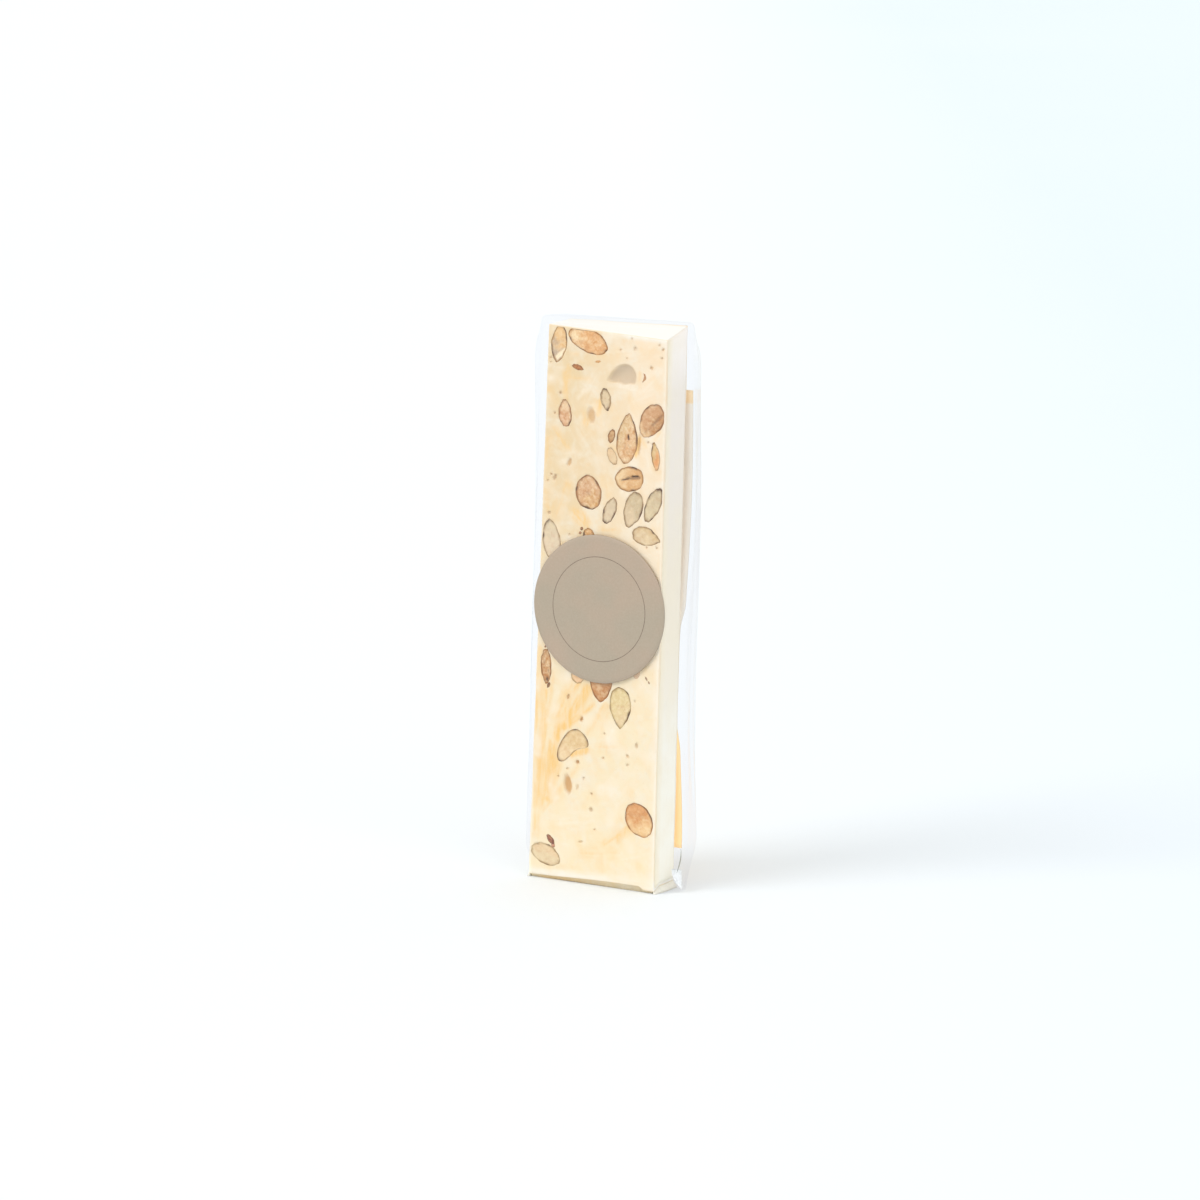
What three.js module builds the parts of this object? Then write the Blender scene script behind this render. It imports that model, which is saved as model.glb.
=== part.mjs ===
/*
 * A bar of soft almond nougat in its clear sealed bag, standing on its short end.
 *
 * Millimetres, +Z up, the cut face with the round sticker towards -Y, +X to its right.
 * The origin is on the ground, in the middle of the part's box.
 *
 * The clear bag is one closed solid out to its film, with a side crease at half depth
 * where the flat bag runs past the bar. A round paper sticker lies on its front and a
 * long paper label on its back, which bows away from the bar near both ends.
 */
import * as THREE from 'three';

// ---- the bar inside, which leans a little to the right and narrows upwards ----
const BAR_DEPTH = 12.4;
const BAR_HEIGHT = 168.8;
const BAR_FOOT = { left: -25.4, right: 18.7 };
const BAR_TOP = { left: -20, right: 21 };

// ---- the clear bag ----
const BAG_HEIGHT = 171.7; // foot to folded top, at the middle
const BAG_WIDTH = 57.4; // from one side crease to the other
const TOP_RISE = 0.8; // the folded top is this much higher at the right than at the left
const FILM_ROOM = 0.4; // between a cut face of the bar and the film over it
const PANEL_MARGIN = 1.4; // how far the flat panels run past the bar on either side
const CREASE_SHARE = 0.52; // how far back the side creases lie, as a share of the bar's depth
const EDGE_ROOM = 0.8; // least distance from a flat panel to the side crease
const PANEL_ROUND = 1.6; // rounding where a panel turns towards the crease
const CREASE_ROUND = 0.6;
const FOOT_TUCK = 2.2; // the creases draw in at both ends, where the bag closes
const FOOT_TAPER = 16;
const TOP_TUCK = 2.4;
const TOP_TAPER = 12;
const END_ROUND = 1.1; // rounding of the closed ends
const FOOT_RINGS = [4, 8, 12, FOOT_TAPER]; // heights of the rings above the foot
const TOP_RINGS = [TOP_TAPER, 8, 4]; // and how far below the top the last ones lie
const BODY_BANDS = 13; // even bands between the two
const BOWS = [
  // where the back panel and its label bow away from the bar
  { depth: 3.4, height: 24, reach: 44 },
  { depth: 2.6, height: 128, reach: 46 },
];

// ---- the papers ----
const PAPER = 0.3; // thickness
const PAPER_GAP = 0.3; // between a paper and the film under it
const STICKER_RADIUS = 22.5;
const STICKER_X = -1; // on the middle of the bar
const STICKER_HEIGHT = 85.3;
const STICKER_SIDES = 96;
const LABEL_X = { foot: -1.4, top: 0.2 }; // middle of the label's lower and upper edge
const LABEL_WIDTH = 42;
const LABEL_FOOT = 12.3;
const LABEL_TOP = 151.3;
const LABEL_STEPS = 28;

// ---- worked out from these ----
const FILM_DEPTH = BAR_DEPTH + 2 * FILM_ROOM;
const DEEPEST_BOW = Math.max(...BOWS.map((bow) => bow.depth));
// The front lies so that the box from sticker to label is centred on y = 0.
const FRONT_Y = -(FILM_DEPTH + DEEPEST_BOW) / 2;
const BACK_Y = FRONT_Y + FILM_DEPTH;

const smooth = (t) => {
  const s = THREE.MathUtils.clamp(t, 0, 1);
  return s * s * (3 - 2 * s);
};

/** Where the bar's left or right edge stands at a height. */
const barEdge = (side, z) => THREE.MathUtils.lerp(BAR_FOOT[side], BAR_TOP[side], z / BAR_HEIGHT);

/** Half of the bag's width, which draws in towards the closed ends. */
const bagHalf = (z) =>
  BAG_WIDTH / 2 -
  FOOT_TUCK * (1 - smooth(z / FOOT_TAPER)) -
  TOP_TUCK * (1 - smooth((BAG_HEIGHT - z) / TOP_TAPER));

/** How far the back panel bows away from the bar at a height. */
function bow(z) {
  let out = 0;
  for (const { depth, height, reach } of BOWS) {
    const t = Math.abs(z - height) / reach;
    if (t < 1) out += depth * Math.cos((t * Math.PI) / 2) ** 2;
  }
  return out;
}

/** The corners of a polygon, each softened by a short curve of three points. */
function softened(corners, rounds) {
  const points = [];
  corners.forEach((corner, i) => {
    const before = corners[(i + corners.length - 1) % corners.length];
    const after = corners[(i + 1) % corners.length];
    const start = corner.clone().add(before.clone().sub(corner).setLength(rounds[i]));
    const end = corner.clone().add(after.clone().sub(corner).setLength(rounds[i]));
    const middle = start.clone().add(end).multiplyScalar(0.25).addScaledVector(corner, 0.5);
    points.push(start, middle, end);
  });
  return points;
}

/** One level ring of the bag, counterclockwise from above, drawn in by `inset`. */
function bagRing(z, inset) {
  const right = bagHalf(z) - inset;
  const left = -right;
  const panelLeft = Math.max(barEdge('left', z) - PANEL_MARGIN, left + EDGE_ROOM);
  const panelRight = Math.min(barEdge('right', z) + PANEL_MARGIN, right - EDGE_ROOM);
  const front = FRONT_Y + inset;
  const back = BACK_Y + bow(z) - inset;
  const crease = THREE.MathUtils.lerp(front, back, CREASE_SHARE);
  const corners = [
    new THREE.Vector2(panelLeft, front),
    new THREE.Vector2(panelRight, front),
    new THREE.Vector2(right, crease),
    new THREE.Vector2(panelRight, back),
    new THREE.Vector2(panelLeft, back),
    new THREE.Vector2(left, crease),
  ];
  const rounds = [PANEL_ROUND, PANEL_ROUND, CREASE_ROUND, PANEL_ROUND, PANEL_ROUND, CREASE_ROUND];
  const level = (x) => z + TOP_RISE * smooth((z - BAG_HEIGHT / 2) / (BAG_HEIGHT / 2)) * (x / BAG_WIDTH);
  return softened(corners, rounds).map(({ x, y }) => new THREE.Vector3(x, y, level(x)));
}

/** A closed skin through rings of equal length, counterclockwise from above, foot first. */
function lofted(rings) {
  const sides = rings[0].length;
  const positions = rings.flat().flatMap((p) => p.toArray());
  const faces = [];
  for (let r = 0; r + 1 < rings.length; r++) {
    for (let i = 0; i < sides; i++) {
      const a = r * sides + i;
      const b = r * sides + ((i + 1) % sides);
      faces.push(a, b, b + sides, a, b + sides, a + sides);
    }
  }
  const last = (rings.length - 1) * sides;
  for (let i = 1; i + 1 < sides; i++) {
    faces.push(0, i + 1, i);
    faces.push(last, last + i, last + i + 1);
  }
  const geometry = new THREE.BufferGeometry();
  geometry.setAttribute('position', new THREE.Float32BufferAttribute(positions, 3));
  geometry.setIndex(faces);
  geometry.computeVertexNormals();
  return geometry;
}

function bagGeometry() {
  // Rings are close together where the ends draw in and wider apart between them.
  const bandHeight = (BAG_HEIGHT - TOP_TAPER - FOOT_TAPER) / BODY_BANDS;
  const heights = [END_ROUND, ...FOOT_RINGS];
  for (let i = 1; i < BODY_BANDS; i++) heights.push(FOOT_TAPER + i * bandHeight);
  heights.push(...TOP_RINGS.map((below) => BAG_HEIGHT - below), BAG_HEIGHT - END_ROUND);
  return lofted([
    bagRing(0, END_ROUND),
    bagRing(END_ROUND / 3, END_ROUND / 3),
    ...heights.map((z) => bagRing(z, 0)),
    bagRing(BAG_HEIGHT - END_ROUND / 3, END_ROUND / 3),
    bagRing(BAG_HEIGHT, END_ROUND),
  ]);
}

/** The long label follows the bowed back panel. */
function labelGeometry() {
  const rings = [];
  for (let i = 0; i <= LABEL_STEPS; i++) {
    const z = THREE.MathUtils.lerp(LABEL_FOOT, LABEL_TOP, i / LABEL_STEPS);
    const near = BACK_Y + bow(z) + PAPER_GAP;
    const far = near + PAPER;
    const middle = THREE.MathUtils.lerp(LABEL_X.foot, LABEL_X.top, i / LABEL_STEPS);
    const left = middle - LABEL_WIDTH / 2;
    const right = middle + LABEL_WIDTH / 2;
    rings.push([
      new THREE.Vector3(left, near, z),
      new THREE.Vector3(right, near, z),
      new THREE.Vector3(right, far, z),
      new THREE.Vector3(left, far, z),
    ]);
  }
  return lofted(rings);
}

function named(name, geometry, color, roughness) {
  const material = new THREE.MeshStandardMaterial({ color, roughness, metalness: 0 });
  const mesh = new THREE.Mesh(geometry, material);
  mesh.name = name;
  return mesh;
}

const film = named('film_pack', bagGeometry(), 0xf6e6ca, 0.2);

const sticker = named(
  'round_sticker',
  new THREE.CylinderGeometry(STICKER_RADIUS, STICKER_RADIUS, PAPER, STICKER_SIDES),
  0xbfae9b,
  0.6,
);
sticker.position.set(STICKER_X, FRONT_Y - PAPER_GAP - PAPER / 2, STICKER_HEIGHT);

const label = named('back_label', labelGeometry(), 0xe3d6c2, 0.6);

const bar = new THREE.Group();
bar.name = 'nougat_bar';
bar.add(film, sticker, label);

export default bar;
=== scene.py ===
"""A bar of soft almond nougat in its clear sealed bag, standing on its short end.

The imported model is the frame. The bag's solid is replaced by clear film over a bar of
nougat with cut almonds and wafer sheets, and the two papers by finished papers.
Sizes inside the functions are in millimetres in the model's own frame: +Z up, the cut
face with the round sticker towards -Y. They turn into metres when a mesh is made.
"""

import math
import random
from dataclasses import dataclass

import bpy
import numpy as np
from mathutils import Matrix, Vector, noise
from mathutils.geometry import delaunay_2d_cdt


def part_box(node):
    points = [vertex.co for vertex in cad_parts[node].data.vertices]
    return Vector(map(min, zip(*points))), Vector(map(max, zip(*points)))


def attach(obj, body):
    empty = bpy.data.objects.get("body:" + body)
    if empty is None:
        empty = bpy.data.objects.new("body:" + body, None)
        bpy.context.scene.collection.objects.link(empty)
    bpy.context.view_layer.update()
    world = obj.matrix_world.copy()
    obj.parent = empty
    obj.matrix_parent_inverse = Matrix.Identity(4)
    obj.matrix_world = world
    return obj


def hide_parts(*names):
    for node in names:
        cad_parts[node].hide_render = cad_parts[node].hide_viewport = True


bl_info = {
    "name": "Nougat bar in a clear bag",
    "version": (1, 0, 0),
    "blender": (4, 5, 0),
    "location": "View3D > Sidebar > Nougat",
    "description": "Makes the bar, its almonds, wafer sheets, film and papers, and the stage",
    "category": "Add Mesh",
}

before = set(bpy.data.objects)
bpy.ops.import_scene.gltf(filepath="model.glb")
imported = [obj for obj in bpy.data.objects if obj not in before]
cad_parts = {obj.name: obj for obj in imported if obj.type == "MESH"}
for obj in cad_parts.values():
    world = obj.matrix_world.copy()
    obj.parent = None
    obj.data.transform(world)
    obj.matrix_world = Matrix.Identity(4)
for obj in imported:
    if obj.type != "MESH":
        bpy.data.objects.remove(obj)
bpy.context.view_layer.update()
MM = 0.001
BODY = "root"
SEEDS = {"front": 3, "back": 4, "foot": 8, "top": 9, "nuts": 17, "tones": 41, "hollows": 5}


def box_mm(node):
    """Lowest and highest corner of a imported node, in millimetres."""
    low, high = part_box(node)
    return Vector(low) / MM, Vector(high) / MM


FILM_LOW, FILM_HIGH = box_mm("film_pack")
STICKER_LOW, STICKER_HIGH = box_mm("round_sticker")
LABEL_LOW, LABEL_HIGH = box_mm("back_label")

# ---- the bar, in millimetres: it leans a little to the right and narrows upwards ----
BAR_DEPTH = 12.4
BAR_WIDTH = 44.0  # at the foot
BAR_HEIGHT = 168.0
BAR_FOOT = {"left": -25.4, "right": 18.7}
BAR_TOP = {"left": -20.0, "right": 21.0}
FILM_ROOM = 0.4  # between a cut face and the film over it
BAR_FRONT = FILM_LOW.y + FILM_ROOM
BAR_BACK = BAR_FRONT + BAR_DEPTH
CORNER_ROUND = 0.35  # of the upright edges
ARC_STEPS = 4  # mesh lines round each of them
ROW_SHARE = 0.87  # rows of the cut faces' mesh lie this much closer than its points
END_ROUND = 0.35  # of the edges at the foot and the top
WAFER_THICK = 0.36
WAFER_SEAT = 0.2  # the nougat stands back by this under the wafer sheets
WAFER_FOOT = 0.8  # the nougat has sagged past the sheets by this much
STAND = 0.8  # the film folded under the foot holds the bar this high; its heights start there

# ---- the bag ----
TOP_RISE = 0.8
BAG_HEIGHT = FILM_HIGH.z - TOP_RISE / 2 * 0.94
BAG_WIDTH = FILM_HIGH.x - FILM_LOW.x
FILM_FRONT = FILM_LOW.y
FILM_BACK = BAR_BACK + FILM_ROOM
PANEL_MARGIN = 1.4
CREASE_SHARE = 0.52
EDGE_ROOM = 0.8
PANEL_ROUND = 1.6
CREASE_ROUND = 0.6
FOOT_TUCK = 3.4
FOOT_TAPER = 18.0
TOP_TUCK = 2.4
TOP_TAPER = 12.0
FILM_END_ROUND = 1.1
CREASE_HEIGHTS = (6.4, 14.0)  # ends of the sharp crease above the folded corner
FOOT_FOLD_FRONT = 0.12  # the folded foot starts this far behind the bar's front
FOLD_GAP = 0.22  # between the two layers of a folded corner
PILLOW = 0.27  # how far the slack film stands off under the papers
BOWS = (
    {"depth": 3.4, "height": 10.8, "reach": 42.0},
    {"depth": 2.6, "height": 120.8, "reach": 60.0},
)
LABEL_X = {"foot": -2.3, "top": 0.6}  # middle of the label's lower and upper edge
LABEL_WIDTH = 42.0
LABEL_THICK = 0.22
LABEL_HANG = 1.3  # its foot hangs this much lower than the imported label's
PAPER_GAP = 0.3  # between the label and the film under it
LABEL_SWAY = 1.3  # the slack label strays to the left by this much below its middle

# ---- the camera, which looks from the right and a little above ----
LENS = 150.0
SENSOR = 36.0
CAMERA_AZIMUTH = 29.79
CAMERA_ELEVATION = 10.55
CAMERA_ROLL = 0.62
CAMERA_DISTANCE = 1494.6
CAMERA_TARGET = Vector((-1.17, BAR_FRONT, 87.96))


# ==== small helpers ================================================================


def smooth(t):
    """A soft step from 0 to 1."""
    s = min(max(t, 0.0), 1.0)
    return s * s * (3 - 2 * s)


def lerp(a, b, t):
    return a + (b - a) * t


def linear(code):
    """A colour written as six hexadecimal digits, in linear light."""
    values = [int(code[i : i + 2], 16) / 255 for i in (0, 2, 4)]
    return tuple(v / 12.92 if v <= 0.04045 else ((v + 0.055) / 1.055) ** 2.4 for v in values)


def mixed(first, second, t):
    """Between two linear colours."""
    return tuple(lerp(a, b, t) for a, b in zip(first, second))


def bar_edge(side, z):
    """Where the bar's left or right edge stands at a height."""
    return lerp(BAR_FOOT[side], BAR_TOP[side], z / BAR_HEIGHT)


def foot_level(x, y):
    """Underside of the bar: behind its raised edges it sags to the ground."""
    depth = y - BAR_FRONT
    along = (x - BAR_FOOT["left"]) / (BAR_FOOT["right"] - BAR_FOOT["left"])
    front = lerp(0.12, 0.95, smooth(1.3 * along))
    edge = lerp(front, 0.3 + 1.4 * along, smooth(depth / 3.0))
    edge = lerp(edge, lerp(-0.1, 1.0, smooth((depth - 0.4) / 3.0)), smooth((x - 13.0) / 2.2))
    inside = min(depth, BAR_DEPTH - depth, x - BAR_FOOT["left"], BAR_FOOT["right"] - x)
    return lerp(edge, 0.1 - STAND, smooth((inside - 0.4) / 0.35))


def top_level(x, y):
    """Top of the bar: it falls to the right in front and rises to the right behind."""
    along = (x - BAR_TOP["left"]) / (BAR_TOP["right"] - BAR_TOP["left"])
    return lerp(lerp(169.0, 167.1, along), lerp(169.2, 170.1, along), (y - BAR_FRONT) / BAR_DEPTH)


def cloud(x, y, z, size):
    """Soft noise from -1 to 1 whose lumps measure about `size` millimetres."""
    return noise.noise(Vector((x / size, y / size, z / size)))


def add_object(name, points, faces, materials, slots=None, scalars=None, colours=None, lift=0.0):
    """A mesh object from millimetre points, with named point values for its materials."""
    mesh = bpy.data.meshes.new(name)
    mesh.from_pydata([(x * MM, y * MM, (z + lift) * MM) for x, y, z in points], [], faces)
    for material in materials:
        mesh.materials.append(material)
    if slots is not None:
        mesh.polygons.foreach_set("material_index", slots)
    for key, values in (scalars or {}).items():
        attribute = mesh.attributes.new(key, "FLOAT", "POINT")
        attribute.data.foreach_set("value", np.asarray(values, np.float32))
    for key, values in (colours or {}).items():
        attribute = mesh.attributes.new(key, "FLOAT_COLOR", "POINT")
        rows = [(r, g, b, 1.0) for r, g, b in values]
        attribute.data.foreach_set("color", np.asarray(rows, np.float32).ravel())
    mesh.polygons.foreach_set("use_smooth", [True] * len(mesh.polygons))
    mesh.validate()
    mesh.update()
    made = bpy.data.objects.new(name, mesh)
    bpy.context.scene.collection.objects.link(made)
    return made


def flipped(faces):
    """The same faces, seen from their other side."""
    return [face[::-1] for face in faces]


def join(faces, rings, flip=False, closed=True, caps=False):
    """Quads between neighbouring rings of point numbers and, if asked, a face over both ends."""
    made = []
    for low, high in zip(rings, rings[1:]):
        for i in range(len(low) if closed else len(low) - 1):
            j = (i + 1) % len(low)
            made.append([low[i], low[j], high[j], high[i]])
    if caps:
        made += [list(rings[0])[::-1], list(rings[-1])]
    faces += flipped(made) if flip else made


def fan(faces, ring, middle, flip=False):
    """Triangles from a ring of point numbers to its middle."""
    for a, b in zip(ring, [*ring[1:], ring[0]]):
        faces.append([b, a, middle] if flip else [a, b, middle])


def lofted(sections, flip=False):
    """A closed skin through sections of equal length: its points and faces."""
    faces = []
    count = len(sections[0])
    rings = [range(i * count, (i + 1) * count) for i in range(len(sections))]
    join(faces, rings, flip, caps=True)
    return [p for section in sections for p in section], faces


def sheet(place, rows, across):
    """Two layers: points, quads over both with the outer of each pair first, and quads round the rim."""
    width = across + 1
    layer = (rows + 1) * width
    points = [place(r, c, k) for k in (0, 1) for r in range(rows + 1) for c in range(width)]
    quads = []
    for r in range(rows):
        for a in range(r * width, r * width + across):
            quad = [a, a + 1, a + width + 1, a + width]
            quads += [[i + layer for i in quad], quad[::-1]]
    rim = [*range(width), *range(width + across, layer, width)]
    rim += range(rows * width + across - 1, rows * width - 1, -1)
    rim += range((rows - 1) * width, 0, -width)
    return points, quads, [[a, b, b + layer, a + layer] for a, b in zip(rim, rim[1:] + rim[:1])]


def closed_loop(start, count):
    """Edges round a loop of points that follow one another."""
    return [(start + i, start + (i + 1) % count) for i in range(count)]


def put(mesh, place, **values):
    """Adds a point with its values to a mesh that is being gathered, and gives its number."""
    mesh["points"].append(place)
    for key, value in values.items():
        mesh[key].append(value)
    return len(mesh["points"]) - 1


def finish_piece(piece, slot, *nodes):
    """Rides on the one body and stands for the nodes it replaces; its slot is not used."""
    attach(piece, BODY)
    if nodes:
        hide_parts(*nodes)


# ==== cut almonds, pores and flecks ================================================


@dataclass
class Shape:
    """A closed outline round a centre, longer along its own upright axis."""

    x: float
    z: float
    long: float  # half length
    wide: float  # half width
    tilt: float = 0.0  # degrees, the top end leans to the right
    tip: float = 0.0  # how pointed the top end is, 0 to 1
    tail: float = 0.0  # how pointed the bottom end is
    taper: float = 0.0  # wider towards the top
    bend: float = 0.0  # the middle bows to the right by this much
    rough: float = 0.03  # unevenness as a share of the size
    seed: int = 0
    traced: tuple = ()  # points of a form that is no almond, clockwise from its top

    def local(self, angle, scale=1.0):
        """A point of the outline at an angle from the top end, before it is turned."""
        if self.traced:
            return self.through(angle / (2 * math.pi) * len(self.traced), scale)
        s = math.cos(angle)
        width = abs(math.sin(angle))
        end = self.tip if s > 0 else self.tail
        width *= (1 - 0.62 * end * s * s) * (1 + self.taper * s)
        wobble = math.sin(2 * angle + self.seed) + 0.6 * math.sin(3 * angle + 1.7 * self.seed)
        wobble += 0.35 * math.sin(5 * angle + 2.3 * self.seed)
        fine = 0.055 * math.sin(8 * angle + 1.3 * self.seed)
        fine += 0.045 * math.sin(13 * angle + 2.9 * self.seed)
        size = scale * (1 + self.rough * wobble + fine / min(self.long, self.wide) * 0.8)
        v = self.long * s * size
        u = math.copysign(width, math.sin(angle)) * self.wide * size
        return u + self.bend * (1 - (s * scale) ** 2) - self.bend * 0.4, v

    def through(self, place, scale):
        """A point of a smooth closed curve through the traced points."""
        count = len(self.traced)
        first = int(place) % count
        t = place - int(place)
        a, b, c, d = (Vector(self.traced[(first + k) % count]) for k in (-1, 0, 1, 2))
        p = b + 0.5 * t * (c - a + t * (2 * a - 5 * b + 4 * c - d + t * (3 * (b - c) + d - a)))
        return (p.x - self.x) * scale, (p.y - self.z) * scale

    def turned(self, u, v, scale=1.0):
        """A point in the bar's own axes, held back where the outline would cross the face's edge."""
        a = math.radians(self.tilt)
        x = self.x + u * math.cos(a) + v * math.sin(a)
        z = self.z - u * math.sin(a) + v * math.cos(a)
        room = 0.16 + (1 - scale) * 1.1
        left = bar_edge("left", z) + WAFER_SEAT + CORNER_ROUND + room
        right = bar_edge("right", z) - WAFER_SEAT - CORNER_ROUND - room
        x = min(max(x, left), right)
        return x, min(z, top_level(x, BAR_FRONT) - END_ROUND - room)

    def ring(self, count, scale=1.0):
        """Points round the outline, or round a smaller copy of it inside."""
        return [self.turned(*self.local(2 * math.pi * i / count, scale), scale) for i in range(count)]

    def inside(self, x, z):
        """Where a point lies in the shape's own axes, as shares of its half width and length."""
        a = math.radians(self.tilt)
        dx, dz = x - self.x, z - self.z
        return (
            (dx * math.cos(a) - dz * math.sin(a)) / self.wide,
            (dx * math.sin(a) + dz * math.cos(a)) / self.long,
        )


@dataclass
class Nut:
    """A cut almond: its outline, two kernel tones and what its skin does."""

    shape: Shape
    tone: str  # main colour of the cut kernel
    second: str  # second colour
    toward: float = 180.0  # the second colour lies this way, degrees from the top, clockwise
    share: float = 0.5  # how much of the kernel takes the second colour
    speckle: float = 0.4  # how rough and flecked the kernel is
    skin: float = 0.36  # thickness of the skin
    open_at: float = 0.0  # where the skin is missing, degrees from the top, clockwise
    open_width: float = 0.0  # and over how many degrees
    dark_at: float = -1.0  # where the skin is darkest and thickest, the same way


@dataclass
class Hollow:
    """A bubble, pore or dent in the cut face."""

    shape: Shape
    deep: float
    shade: float = 1.0  # how much painted shade darkens its inside
    tan: float = 0.0  # how brown its inside is
    soft: bool = False  # whether its tint fades in from the rim


@dataclass
class Stroke:
    """A soft line from one point to another that tints or sinks what it crosses."""

    start: tuple
    end: tuple
    width: float
    strength: float = 1.0
    sink: float = 0.0

    def weight(self, x, z):
        """How strongly the line acts at a place."""
        ax, az = self.start
        bx, bz = self.end
        length = max((bx - ax) ** 2 + (bz - az) ** 2, 1e-6)
        t = min(max(((x - ax) * (bx - ax) + (z - az) * (bz - az)) / length, 0.0), 1.0)
        off = math.hypot(x - lerp(ax, bx, t), z - lerp(az, bz, t))
        return self.strength * (1 - smooth(off / self.width))

    def fibres(self, x, z):
        """The same, broken up into fibres that run along the line."""
        whole = self.weight(x, z)
        if whole <= 0.0:
            return 0.0
        ax, az = self.start
        bx, bz = self.end
        length = max(math.hypot(bx - ax, bz - az), 1e-3)
        across = ((x - ax) * (bz - az) - (z - az) * (bx - ax)) / length
        along = ((x - ax) * (bx - ax) + (z - az) * (bz - az)) / length
        thread = noise.noise(Vector((across / 1.0, along / 9.0, 0.3 * self.width)))
        thread += 0.5 * noise.noise(Vector((across / 0.55, along / 5.0, 7.0)))
        return whole * min(max(0.62 + 0.95 * thread, 0.0), 1.35)


# A bean-shaped almond and the domed bubble over its flat floor, both as they lie.
KIDNEY = (
    (-11.5, 45.8), (-9, 46.8), (-6.8, 45.9), (-5.1, 44.1), (-4.6, 42.4), (-5.6, 41.4), (-7.5, 41.1),
    (-9.3, 40), (-11.4, 37.9), (-13.2, 36.5), (-14.8, 36.4), (-15.5, 38), (-15.1, 40.4), (-13.6, 43.3),
)
DOME = (
    (6.4, 159), (8.8, 158.4), (10.2, 156.6), (10.4, 154.5), (9.8, 152.9), (8.2, 152.9), (6.4, 152.5),
    (4.2, 153), (2, 152.9), (0.5, 153.3), (0.9, 154.8), (2.2, 156.6), (4, 158.2),
)

TAN = "dfae74"
ORANGE = "e0a15c"
DEEP = "c98a4c"
GREY = "dfcea6"
GREEN = "e9d8a6"
PEACH = "efc690"
CREAM = "f4e2b9"
PINK = "dfb88c"
BROWN = "b98046"
KERNEL_PALE = "f3ddb2"
KERNEL_BROWN = "c07c40"
KERNEL_BARE = "efd0a0"  # where the skin is missing
WEDGE_CREAM = "f8e8c6"
SKIN_BROWN = "643812"
SKIN_DARK = "3f210c"
FLAKE_RIM = "3a1f10"
NUT_TONES = (
    (TAN, ORANGE), (GREY, CREAM), (GREEN, CREAM), (PINK, GREY), (ORANGE, DEEP), (PEACH, TAN), (BROWN, TAN),
)

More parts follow.
